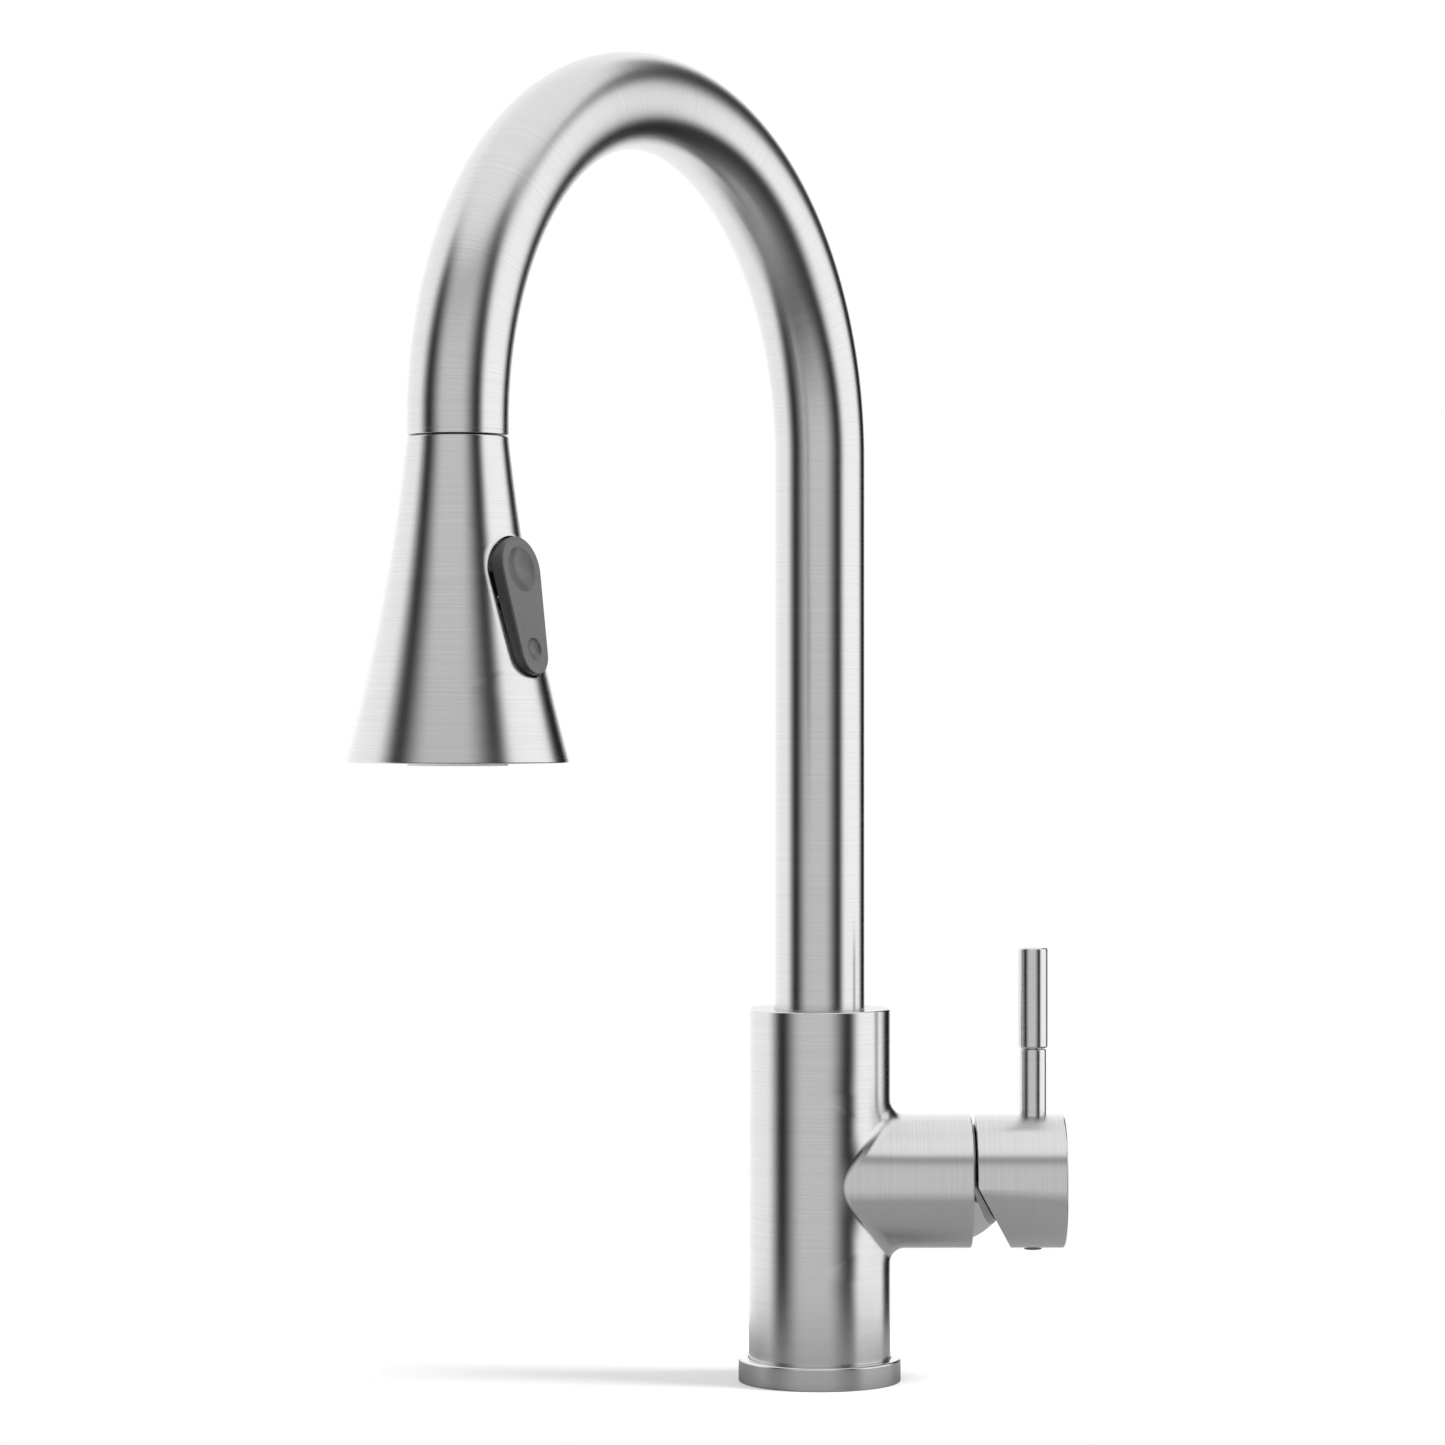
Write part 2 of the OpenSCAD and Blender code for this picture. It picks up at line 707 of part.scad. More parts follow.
module rocker() color("dimgray") in_head() difference() {
    union() {
        difference() {
            rocker_slab(-rocker_skirt, rocker_proud);
            rocker_slab(-rocker_skirt - cut, rocker_proud - rocker_skin, -rocker_rim);
        }
        translate([rocker_pin_x, 0, -rocker_drop]) {
            cross_pin(2.6, lug_half);
            block([0, -lug_half, -2], [pin_in + rocker_proud - 1, lug_half, 2]);
            rotate([0, -90, 0]) shaft(arm_r, 0, rocker_pin_x - spool_x - 1.3);
        }
    }
    translate([rocker_pin_x, 0, -rocker_drop]) cross_pin(rocker_pin_r + run_fit, ear_out);
    rocker_dish(10, 12.5, 0.9);
    rocker_dish(-12, 6.3, 0.6);
}

module diverter_spool() color("white") in_head() translate([spool_x, 0, -rocker_drop]) difference() {
    shaft(spool_r, -spool_half, spool_half);
    ring(2 * spool_r, 1, -1.5, 1.5);
}

module diverter_spring() color("silver") in_head() translate([spool_x, 0, -rocker_drop])
    ring(spool_r - 0.2, spool_r - 0.9, -spool_half - spring_h, -spool_half);

base_ring();
deck_gasket();
shank();
faucet_body();
valve_block();
swivel_bush_upper();
swivel_bush_lower();
spout_orings();
inlet_seals();
cartridge_base();
fixed_disc();
cartridge_housing();
cartridge_nut();
bonnet();
stem_carrier();
stem_pin();
moving_disc();
disc_carrier();
stem();
handle_cap();
lever_rod();
lever_grip();
set_screw();
screw_plug();
spout_tube();
spout_foot();
retaining_clip();
dock_collar();
dock_magnet();
hose_guide();
spray_hose();
hose_coupling();
hose_run();
hose_ferrule();
hose_oring();
head_shell();
head_neck();
armature_ring();
head_core();
filter_washer();
check_valve();
nozzle_mat();
face_plate();
stream_insert();
aerator();
rocker_frame();
rocker_pin();
rocker();
diverter_spool();
diverter_spring();
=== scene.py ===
import json
import math

import bmesh
import bpy
from mathutils import Matrix, Vector
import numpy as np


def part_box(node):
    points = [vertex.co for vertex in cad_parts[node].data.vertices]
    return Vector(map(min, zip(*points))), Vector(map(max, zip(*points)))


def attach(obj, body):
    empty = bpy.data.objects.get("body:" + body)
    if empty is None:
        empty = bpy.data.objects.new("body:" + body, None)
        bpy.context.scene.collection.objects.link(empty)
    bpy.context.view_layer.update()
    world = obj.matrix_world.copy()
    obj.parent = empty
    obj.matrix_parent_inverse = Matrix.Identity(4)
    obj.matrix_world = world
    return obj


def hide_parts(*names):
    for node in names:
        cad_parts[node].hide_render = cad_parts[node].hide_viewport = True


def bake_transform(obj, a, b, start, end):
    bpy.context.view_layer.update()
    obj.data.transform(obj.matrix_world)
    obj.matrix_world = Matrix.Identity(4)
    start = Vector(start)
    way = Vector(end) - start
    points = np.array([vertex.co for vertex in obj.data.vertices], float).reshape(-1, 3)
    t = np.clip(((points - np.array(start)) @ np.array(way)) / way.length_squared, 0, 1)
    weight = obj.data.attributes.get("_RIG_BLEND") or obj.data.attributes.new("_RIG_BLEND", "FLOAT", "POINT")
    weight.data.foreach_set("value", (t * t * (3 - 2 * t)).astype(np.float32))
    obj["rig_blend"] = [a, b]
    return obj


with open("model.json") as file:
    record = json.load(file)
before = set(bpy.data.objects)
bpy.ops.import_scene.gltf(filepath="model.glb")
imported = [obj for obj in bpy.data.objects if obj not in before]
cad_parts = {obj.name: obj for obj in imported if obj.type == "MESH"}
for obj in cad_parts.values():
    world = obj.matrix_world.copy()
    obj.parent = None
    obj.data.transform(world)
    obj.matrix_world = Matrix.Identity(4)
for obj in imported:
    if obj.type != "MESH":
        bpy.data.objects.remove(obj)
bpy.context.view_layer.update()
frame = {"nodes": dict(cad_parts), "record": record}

MM = 0.001
TAU = 2 * math.pi
SPIN_STEPS = 144
SUPPORT = 0.15 * MM
SHARP_ANGLE = math.radians(32)
GRAIN_ALONG, GRAIN_COARSE, GRAIN_FINE = 22.0, 3200.0, 9000.0
FLOOR_R = 0.14

joints = {j["name"]: j for j in frame["record"]["behaviour"]["joints"]}


# ---- Places, read from the frame ----

body_low, body_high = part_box("faucet_body")
ring_low, ring_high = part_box("base_ring")
cap_low, cap_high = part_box("handle_cap")
rod_low, rod_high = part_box("lever_rod")
grip_low, grip_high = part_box("lever_grip")
plug_low, plug_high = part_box("screw_plug")
dome_low, dome_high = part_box("bonnet")
collar_low, collar_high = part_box("dock_collar")
tube_low, tube_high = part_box("spout_tube")
head_low, head_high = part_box("head_shell")
run_low, run_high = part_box("hose_run")
magnet_low, magnet_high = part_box("dock_magnet")

BODY_R = body_high.y
BORE_R = BODY_R - 3 * MM
BOSS_R = cap_high.y
BOSS_END = body_high.x
pivot = Vector(joints["handle_turn"]["pos_m"])
VALVE_Z = pivot.z
head_at = Vector(joints["head_turn"]["pos_m"][:2])
REACH = head_at.length
TURN = math.atan2(-head_at.x, -head_at.y)
TUBE_R = (collar_high.x - collar_low.x) / 2
SEAM_Z = head_high.z
RIM_Z = head_low.z
HEAD_LEN = SEAM_Z - RIM_Z
RIM_R = (head_high.x - head_low.x) / 2 + 0.1 * MM
rock_at = Vector(joints["rocker_tilt"]["pos_m"])
ROCKER_DROP = SEAM_Z - rock_at.z

ON_VALVE = Matrix.Translation((0, 0, VALVE_Z)) @ Matrix.Rotation(math.pi / 2, 4, "Y")
ON_SPOUT = Matrix.Rotation(-TURN, 4, "Z")
ON_HEAD = Matrix.Translation((head_at.x, head_at.y, SEAM_Z)) @ ON_SPOUT
ON_LEVER = Matrix.Translation(((rod_low.x + rod_high.x) / 2, 0, 0))


# ---- Mesh helpers ----

def new_bm():
    """An empty mesh whose points carry their distance along the section, a painted edge highlight share, and
    place number.
    """
    bm = bmesh.new()
    for name in ("along", "painted_edge_highlight", "u", "v", "k"):
        bm.verts.layers.float.new(name)
    return bm


def lay(bm, name):
    """The point layer of that name."""
    return bm.verts.layers.float[name]


def arc(middle, start, end, steps):
    """Points of the short arc round middle from start to end, both ends included."""
    a, b = start - middle, end - middle
    turn = a.angle(b)
    points = []
    for i in range(steps + 1):
        share = i / steps
        mixed = a * math.sin(turn * (1 - share)) + b * math.sin(turn * share)
        points.append(middle + mixed / math.sin(turn))
    return points


def rounded(corners, closed=True, steps=4):
    """Section outline as (point, painted edge highlight) pairs; each corner is (r, z) or (r, z, rounding)."""
    out = []
    count = len(corners)
    for i, corner in enumerate(corners):
        here = Vector(corner[:2])
        radius = corner[2] if len(corner) > 2 else 0
        if not radius or (not closed and i in (0, count - 1)):
            out.append((here, 0))
            continue
        before = Vector(corners[i - 1][:2]) - here
        after = Vector(corners[(i + 1) % count][:2]) - here
        half = before.angle(after) / 2
        back = radius / math.tan(half)
        to_before, to_after = before.normalized(), after.normalized()
        middle = here + (to_before + to_after).normalized() * radius / math.sin(half)
        # Points on a rounded arc get the full painted edge highlight, and the points just beside it a weaker
        # one.
        if before.length > 3 * (back + SUPPORT):
            out.append((here + to_before * (back + SUPPORT), 0.3))
        for p in arc(middle, here + to_before * back, here + to_after * back, steps):
            out.append((p, 1))
        if after.length > 3 * (back + SUPPORT):
            out.append((here + to_after * (back + SUPPORT), 0.3))
    return out


def spun(outline, closed=True, steps=SPIN_STEPS):
    """Solid of revolution round Z from a section outline."""
    bm = new_bm()
    along, total, last = lay(bm, "along"), 0, None
    verts = []
    for point, painted_edge_highlight in outline:
        v = bm.verts.new((point.x, 0, point.y))
        total += (point - last).length if last is not None else 0
        v[along], v[lay(bm, "painted_edge_highlight")], last = total, painted_edge_highlight, point
        verts.append(v)
    edges = [bm.edges.new(pair) for pair in zip(verts, verts[1:])]
    if closed:
        edges.append(bm.edges.new((verts[-1], verts[0])))
    bmesh.ops.spin(bm, geom=verts + edges, cent=(0, 0, 0), axis=(0, 0, 1), angle=TAU,
                   steps=steps, use_merge=True)
    bmesh.ops.remove_doubles(bm, verts=bm.verts, dist=1e-6)
    return bm


def grow(bm, edges, place):
    """Extrudes an edge loop, moves each new point to place(point), and gives the new loop."""
    geom = bmesh.ops.extrude_edge_only(bm, edges=edges)["geom"]
    verts = {g for g in geom if isinstance(g, bmesh.types.BMVert)}
    for v in verts:
        v.co = place(v)
    return [e for e in {e for v in verts for e in v.link_edges}
            if e.verts[0] in verts and e.verts[1] in verts]


def walk(edges):
    """Points of a closed edge loop, in order round it."""
    links = {}
    for edge in edges:
        for v in edge.verts:
            links.setdefault(v, []).append(edge.other_vert(v))
    path = [edges[0].verts[0]]
    path.append(links[path[0]][0])
    while len(path) < len(links):
        one, other = links[path[-1]]
        path.append(other if one is path[-2] else one)
    return path


def join(bm, edges, goal):
    """Closes the skin between two loops with as many points: grows one onto the other and merges them."""
    places = [v.co.copy() for v in walk(goal)]
    path = walk(grow(bm, edges, lambda v: v.co.copy()))
    count = len(path)
    start = min(range(count), key=lambda i: (places[i] - path[0].co).length)
    step = min((1, -1), key=lambda s: sum((path[i].co - places[(start + s * i) % count]).length
                                          for i in range(count)))
    for i, v in enumerate(path):
        v.co = places[(start + step * i) % count]
    bmesh.ops.remove_doubles(bm, verts=path + walk(goal), dist=1e-7)


def holed_skin(bm, hole, corners, half_u, v_ends, low_rows, high_rows, surface, rings=5, back=40):
    """Tube skin round Z with one hole at u = 0. surface(u, v) places a point; hole is a list of (u, v).
    corners are the four place numbers that lie at the corners of the patch round the hole."""
    count = len(hole)
    lu, lv, lk = lay(bm, "u"), lay(bm, "v"), lay(bm, "k")
    frame_uv = [None] * count
    rect = [(half_u, v_ends[1]), (-half_u, v_ends[1]), (-half_u, v_ends[0]), (half_u, v_ends[0])]
    for side in range(4):
        first, last = corners[side], corners[(side + 1) % 4]
        span = (last - first) % count
        a, b = Vector(rect[side]), Vector(rect[(side + 1) % 4])
        for i in range(span):
            frame_uv[(first + i) % count] = a.lerp(b, i / span)
    start = bmesh.ops.create_circle(bm, cap_ends=False, segments=count, radius=1)["verts"]
    start.sort(key=lambda v: math.atan2(v.co.x, -v.co.y) % TAU)
    for k, v in enumerate(start):
        v[lk], (v[lu], v[lv]) = k, hole[k]
        v.co = surface(*hole[k])
    hole_edges = [e for e in {e for v in start for e in v.link_edges}]
    edges = hole_edges
    for ring in range(1, rings + 1):
        share = ring / rings

        def place(v):
            k = round(v[lk])
            v[lu], v[lv] = Vector(hole[k]).lerp(frame_uv[k], share)
            return surface(v[lu], v[lv])

        edges = grow(bm, edges, place)
    side = [e for e in edges if all(abs(v[lu] - half_u) < 1e-6 for v in e.verts)]
    for i in range(1, back + 1):

        def place(v):
            v[lu] = half_u + (TAU - 2 * half_u) * i / back
            return surface(v[lu], v[lv])

        side = grow(bm, side, place)
    bmesh.ops.remove_doubles(bm, verts=bm.verts, dist=1e-6)
    found = {"hole": hole_edges}
    for name, v_end, rows in (("low", v_ends[0], low_rows), ("high", v_ends[1], high_rows)):
        edges = [e for e in bm.edges if e.is_boundary and all(abs(v[lv] - v_end) < 1e-6 for v in e.verts)
                 and e not in hole_edges]
        for row in rows:

            def place(v):
                v[lv] = row
                return surface(v[lu], row)

            edges = grow(bm, edges, place)
        found[name] = edges
    return found


def finish_mesh(name, bm, body, material, nodes, place=None, around=None):
    """Turns bm into an object in its place: grain directions, edges, material, its body, and hides the frame
    parts it replaces.
    """
    along, lz = lay(bm, "along"), bm.loops.layers.uv.new("grain")
    bmesh.ops.recalc_face_normals(bm, faces=bm.faces)
    for face in bm.faces:
        face.smooth = True
        centre = face.calc_center_median()
        spin_x = around is not None and around(centre)
        mid = math.atan2(centre.z - VALVE_Z, centre.y) if spin_x else math.atan2(centre.y, centre.x)
        size = math.hypot(centre.y, centre.z - VALVE_Z) if spin_x else math.hypot(centre.x, centre.y)
        for loop in face.loops:
            co = loop.vert.co
            here = math.atan2(co.z - VALVE_Z, co.y) if spin_x else math.atan2(co.y, co.x)
            turn = mid + (here - mid + math.pi) % TAU - math.pi
            if around is None:
                across = loop.vert[along]
            else:
                across = co.x if spin_x else co.z
            loop[lz].uv = (turn * max(size, 1 * MM), across)
    for edge in bm.edges:
        edge.smooth = not (edge.is_manifold and edge.calc_face_angle(0) > SHARP_ANGLE)
    if place is not None:
        bmesh.ops.transform(bm, matrix=place, verts=bm.verts)
    mesh = bpy.data.meshes.new(name)
    bm.to_mesh(mesh)
    bm.free()
    mesh.materials.append(material)
    obj = bpy.data.objects.new(name, mesh)
    bpy.context.scene.collection.objects.link(obj)
    if body is not None:
        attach(obj, body)
    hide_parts(*nodes)
    return obj


# ---- Shader helpers ----

def node(tree, kind, inputs=None, **settings):
    """New node with settings on it and values or links on its inputs."""
    made = tree.nodes.new(kind)
    for key, value in settings.items():
        setattr(made, key, value)
    for key, value in (inputs or {}).items():
        if isinstance(value, bpy.types.NodeSocket):
            tree.links.new(value, made.inputs[key])
        else:
            made.inputs[key].default_value = value
    return made


def maths(tree, operation, a, b=0.0, c=0.0):
    return node(tree, "ShaderNodeMath", {0: a, 1: b, 2: c}, operation=operation).outputs[0]


def spread(tree, value, low, high, to_low, to_high):
    return node(tree, "ShaderNodeMapRange", {"Value": value, "From Min": low, "From Max": high,
                                             "To Min": to_low, "To Max": to_high}).outputs["Result"]


def group(name, inputs, outputs, build):
    """Node group with named float or vector sockets; build(tree, input, output) fills it."""
    tree = bpy.data.node_groups.new(name, "ShaderNodeTree")
    for key, value in inputs.items():
        kind = "NodeSocketVector" if value is None else "NodeSocketFloat"
        made = tree.interface.new_socket(name=key, in_out="INPUT", socket_type=kind)
        if value is not None:
            made.default_value = value
    for key in outputs:
        tree.interface.new_socket(name=key, in_out="OUTPUT", socket_type="NodeSocketFloat")
    start, end = tree.nodes.new("NodeGroupInput"), tree.nodes.new("NodeGroupOutput")
    build(tree, start.outputs, end.inputs)
    return tree


def use(tree, which, inputs):
    made = tree.nodes.new("ShaderNodeGroup")
    made.node_tree = which
    for key, value in inputs.items():
        if isinstance(value, bpy.types.NodeSocket):
            tree.links.new(value, made.inputs[key])
        else:
            made.inputs[key].default_value = value
    return made.outputs


def blended(tree, first, second, share):
    """Weighted mean of two values; share is the first one's part."""
    return maths(tree, "ADD", maths(tree, "MULTIPLY", first, share),
                 maths(tree, "MULTIPLY", second, 1.0 - share))


def build_brush(tree, given, out):
    """Fine lines that run one way: slow along the line, fast across it."""
    slow = node(tree, "ShaderNodeVectorMath", {0: given["Position"], "Scale": GRAIN_ALONG},
                operation="SCALE").outputs[0]
    heights = []
    for rate, detail in ((GRAIN_COARSE, 2.0), (GRAIN_FINE, 1.0)):
        w = maths(tree, "MULTIPLY", given["Across"], rate)
        noise = node(tree, "ShaderNodeTexNoise", {"Vector": slow, "W": w, "Scale": 1.0, "Detail": detail,
                                                  "Roughness": 0.6}, noise_dimensions="4D")
        heights.append(noise.outputs[0])
    mixed = blended(tree, heights[0], heights[1], 0.55)
    tree.links.new(spread(tree, mixed, 0.36, 0.64, 0.0, 1.0), out["Lines"])
    tree.links.new(mixed, out["Height"])


def build_smudge(tree, given, out):
    """Slow uneven patches, as left by wiping, and small specks."""
    patch = node(tree, "ShaderNodeTexNoise",
                 {"Vector": given["Position"], "Scale": given["Scale"], "Detail": 5.0, "Roughness": 0.55,
                  "Distortion": 0.4}).outputs[0]
    speck_scale = maths(tree, "MULTIPLY", given["Scale"], 40.0)
    speck = node(tree, "ShaderNodeTexNoise",
                 {"Vector": given["Position"], "Scale": speck_scale, "Detail": 2.0}).outputs[0]
    tree.links.new(spread(tree, patch, 0.35, 0.65, 0.0, 1.0), out["Patches"])
    tree.links.new(spread(tree, speck, 0.3, 0.7, 0.0, 1.0), out["Specks"])


def build_braid(tree, given, out):
    """Two sets of strands that cross over and under round a hose."""
    parts = node(tree, "ShaderNodeSeparateXYZ", {0: given["Position"]}).outputs
    turn = maths(tree, "ARCTAN2", parts[1], parts[0])
    strands = maths(tree, "MULTIPLY", turn, 12.0)
    climb = maths(tree, "MULTIPLY", parts[2], given["Pitch"])
    left = maths(tree, "SINE", maths(tree, "ADD", strands, climb))
    right = maths(tree, "SINE", maths(tree, "SUBTRACT", strands, climb))
    over = maths(tree, "MULTIPLY", maths(tree, "ADD", maths(tree, "MAXIMUM", left, right), 1.0), 0.5)
    tree.links.new(over, out["Height"])
    tree.links.new(spread(tree, over, 0.5, 0.95, 0.0, 1.0), out["Strands"])


brush = group("BrushLines", {"Position": None, "Across": 0.0}, ("Lines", "Height"), build_brush)
smudge = group("Smudge", {"Position": None, "Scale": 8.0}, ("Patches", "Specks"), build_smudge)
braid = group("Braid", {"Position": None, "Pitch": 1500.0}, ("Height", "Strands"), build_braid)


def material(name):
    """New material: itself, its tree, its shader's sockets and the object's coordinates."""
    made = bpy.data.materials.new(name)
    made.use_nodes = True
    tree = made.node_tree
    shader = next(n for n in tree.nodes if n.type == "BSDF_PRINCIPLED")
    place = node(tree, "ShaderNodeTexCoord").outputs["Object"]
    return made, tree, shader.inputs, place


def shade_mix(tree, mask, first, second):
    """Colour between two colours by a mask."""
    mix = node(tree, "ShaderNodeMix", data_type="RGBA")
    tree.links.new(mask, mix.inputs["Factor"])
    for socket, value in ((mix.inputs[6], first), (mix.inputs[7], second)):
        socket.default_value = (*value, 1)
    return mix.outputs[2]


def bumped(tree, height, distance, strength=1.0):
    """Normal from a height."""
    return node(tree, "ShaderNodeBump",
                {"Height": height, "Distance": distance, "Strength": strength}).outputs[0]


def steel(name, dark, light, rough_low, rough_high, across_stretch, bump):
    """Brushed steel: lines along the grain, wiped patches, and rounded edges made brighter by a painted
    highlight and smoother.
    """
    made, tree, sockets, place = material(name)
    across = node(tree, "ShaderNodeSeparateXYZ",
                  {0: node(tree, "ShaderNodeUVMap", uv_map="grain").outputs[0]}).outputs[1]
    lines = use(tree, brush, {"Position": place, "Across": across})
    marks = use(tree, smudge, {"Position": place, "Scale": 14.0})
    # Rounded edges are painted brighter in the base colour, a painted highlight, and given a lower roughness.
    painted_edge_highlight = node(tree, "ShaderNodeAttribute", attribute_name="painted_edge_highlight").outputs["Fac"]
    tone = blended(tree, lines["Lines"], marks["Patches"], 0.85)
    tone = maths(tree, "MAXIMUM", tone, painted_edge_highlight)
    tree.links.new(shade_mix(tree, tone, dark, light), sockets["Base Color"])
    rough = blended(tree, lines["Lines"], marks["Patches"], 0.6)
    rough = maths(tree, "MULTIPLY", rough, maths(tree, "SUBTRACT", 1.0, maths(tree, "MULTIPLY", painted_edge_highlight, 0.6)))
    tree.links.new(spread(tree, rough, 0.0, 1.0, rough_low, rough_high), sockets["Roughness"])
    sockets["Metallic"].default_value = 1.0
    sockets["Anisotropic"].default_value = across_stretch
    sockets["Anisotropic Rotation"].default_value = 0.25
    tangent = node(tree, "ShaderNodeTangent", direction_type="UV_MAP", uv_map="grain").outputs[0]
    tree.links.new(tangent, sockets["Tangent"])
    tree.links.new(bumped(tree, lines["Height"], bump), sockets["Normal"])
    return made


def plain(name, dark, light, rough_low, rough_high, metallic=0.0, scale=30.0, bump=0.02 * MM):
    """Moulded, cast or machined surface: patches of tone, fine specks and a slight grain."""
    made, tree, sockets, place = material(name)
    marks = use(tree, smudge, {"Position": place, "Scale": scale})
    tone = blended(tree, marks["Patches"], marks["Specks"], 0.6)
    tree.links.new(shade_mix(tree, tone, dark, light), sockets["Base Color"])
    tree.links.new(spread(tree, marks["Patches"], 0.0, 1.0, rough_low, rough_high), sockets["Roughness"])
    sockets["Metallic"].default_value = metallic
    tree.links.new(bumped(tree, marks["Specks"], bump), sockets["Normal"])
    return made


def woven(name):
    """Grey nylon braid over a hose."""
    made, tree, sockets, place = material(name)
    low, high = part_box("hose_run")
    middle = node(tree, "ShaderNodeVectorMath", {0: place, 1: (low + high) / 2},
                  operation="SUBTRACT").outputs[0]
    weave = use(tree, braid, {"Position": middle, "Pitch": 1500.0})
    marks = use(tree, smudge, {"Position": place, "Scale": 60.0})
    dust = maths(tree, "MULTIPLY_ADD", marks["Specks"], 0.3, 0.7)
    tone = maths(tree, "MULTIPLY", weave["Strands"], dust)
    tree.links.new(shade_mix(tree, tone, (0.05, 0.05, 0.055), (0.42, 0.42, 0.43)), sockets["Base Color"])
    sockets["Roughness"].default_value = 0.6
    sockets["Sheen Weight"].default_value = 0.2
    tree.links.new(bumped(tree, weave["Height"], 0.4 * MM), sockets["Normal"])
    return made


looks = {
    "brushed_steel": steel("brushed_steel", (0.58, 0.58, 0.58), (0.655, 0.655, 0.652), 0.23, 0.26, 0.7,
                           0.0022 * MM),
    "polished_steel": plain("polished_steel", (0.66, 0.66, 0.66), (0.76, 0.76, 0.76), 0.06, 0.13, 1.0, 20.0,
                            0.002 * MM),
    "brass": plain("brass", (0.62, 0.47, 0.24), (0.76, 0.61, 0.36), 0.22, 0.36, 1.0, 40.0),
    "seal_rubber": plain("seal_rubber", (0.018, 0.018, 0.018), (0.045, 0.045, 0.045), 0.55, 0.75),
    "bush_plastic": plain("bush_plastic", (0.74, 0.74, 0.71), (0.84, 0.84, 0.82), 0.4, 0.55),
    "valve_ceramic": plain("valve_ceramic", (0.83, 0.82, 0.79), (0.89, 0.88, 0.86), 0.15, 0.25),
    "dark_steel": plain("dark_steel", (0.05, 0.05, 0.055), (0.12, 0.12, 0.125), 0.35, 0.5, 0.8),
    "plug_plastic": plain("plug_plastic", (0.1, 0.1, 0.1), (0.16, 0.16, 0.16), 0.35, 0.5),
    "rocker_plastic": plain("rocker_plastic", (0.048, 0.048, 0.0485), (0.062, 0.062, 0.0625), 0.18, 0.25,
                            scale=50.0, bump=0.03 * MM),
    "head_plastic": plain("head_plastic", (0.82, 0.82, 0.82), (0.88, 0.88, 0.88), 0.3, 0.42),
    "nozzle_rubber": plain("nozzle_rubber", (0.045, 0.045, 0.045), (0.08, 0.08, 0.08), 0.5, 0.65),
    "braided_hose": woven("braided_hose"),
}
slot_of = {part["node"]: part["material_slot"] for part in frame["record"]["subparts"]}
for name, cad in frame["nodes"].items():
    cad.data.materials.clear()
    cad.data.materials.append(looks[slot_of[name]])
STEEL = looks["brushed_steel"]


# ---- Base ring ----

ring_top, ring_r = ring_high.z, ring_high.x
shank_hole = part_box("shank")[1].x + 1.2 * MM
step = 3.2 * MM
ring = spun(rounded([
    (BODY_R, 0), (ring_r, 0, 0.25 * MM), (ring_r, ring_top, 0.6 * MM),
    (BODY_R + 0.25 * MM, ring_top, 0.15 * MM),
    (BODY_R + 0.25 * MM, step), (shank_hole, step), (shank_hole, 1.4 * MM), (BODY_R, 1.4 * MM)]))
finish_mesh("base_ring_look", ring, "base", STEEL, ["base_ring"])


# ---- Body: column and valve boss with a blended corner ----

POCKET_R, POCKET_DEPTH = 18.6 * MM, 14 * MM


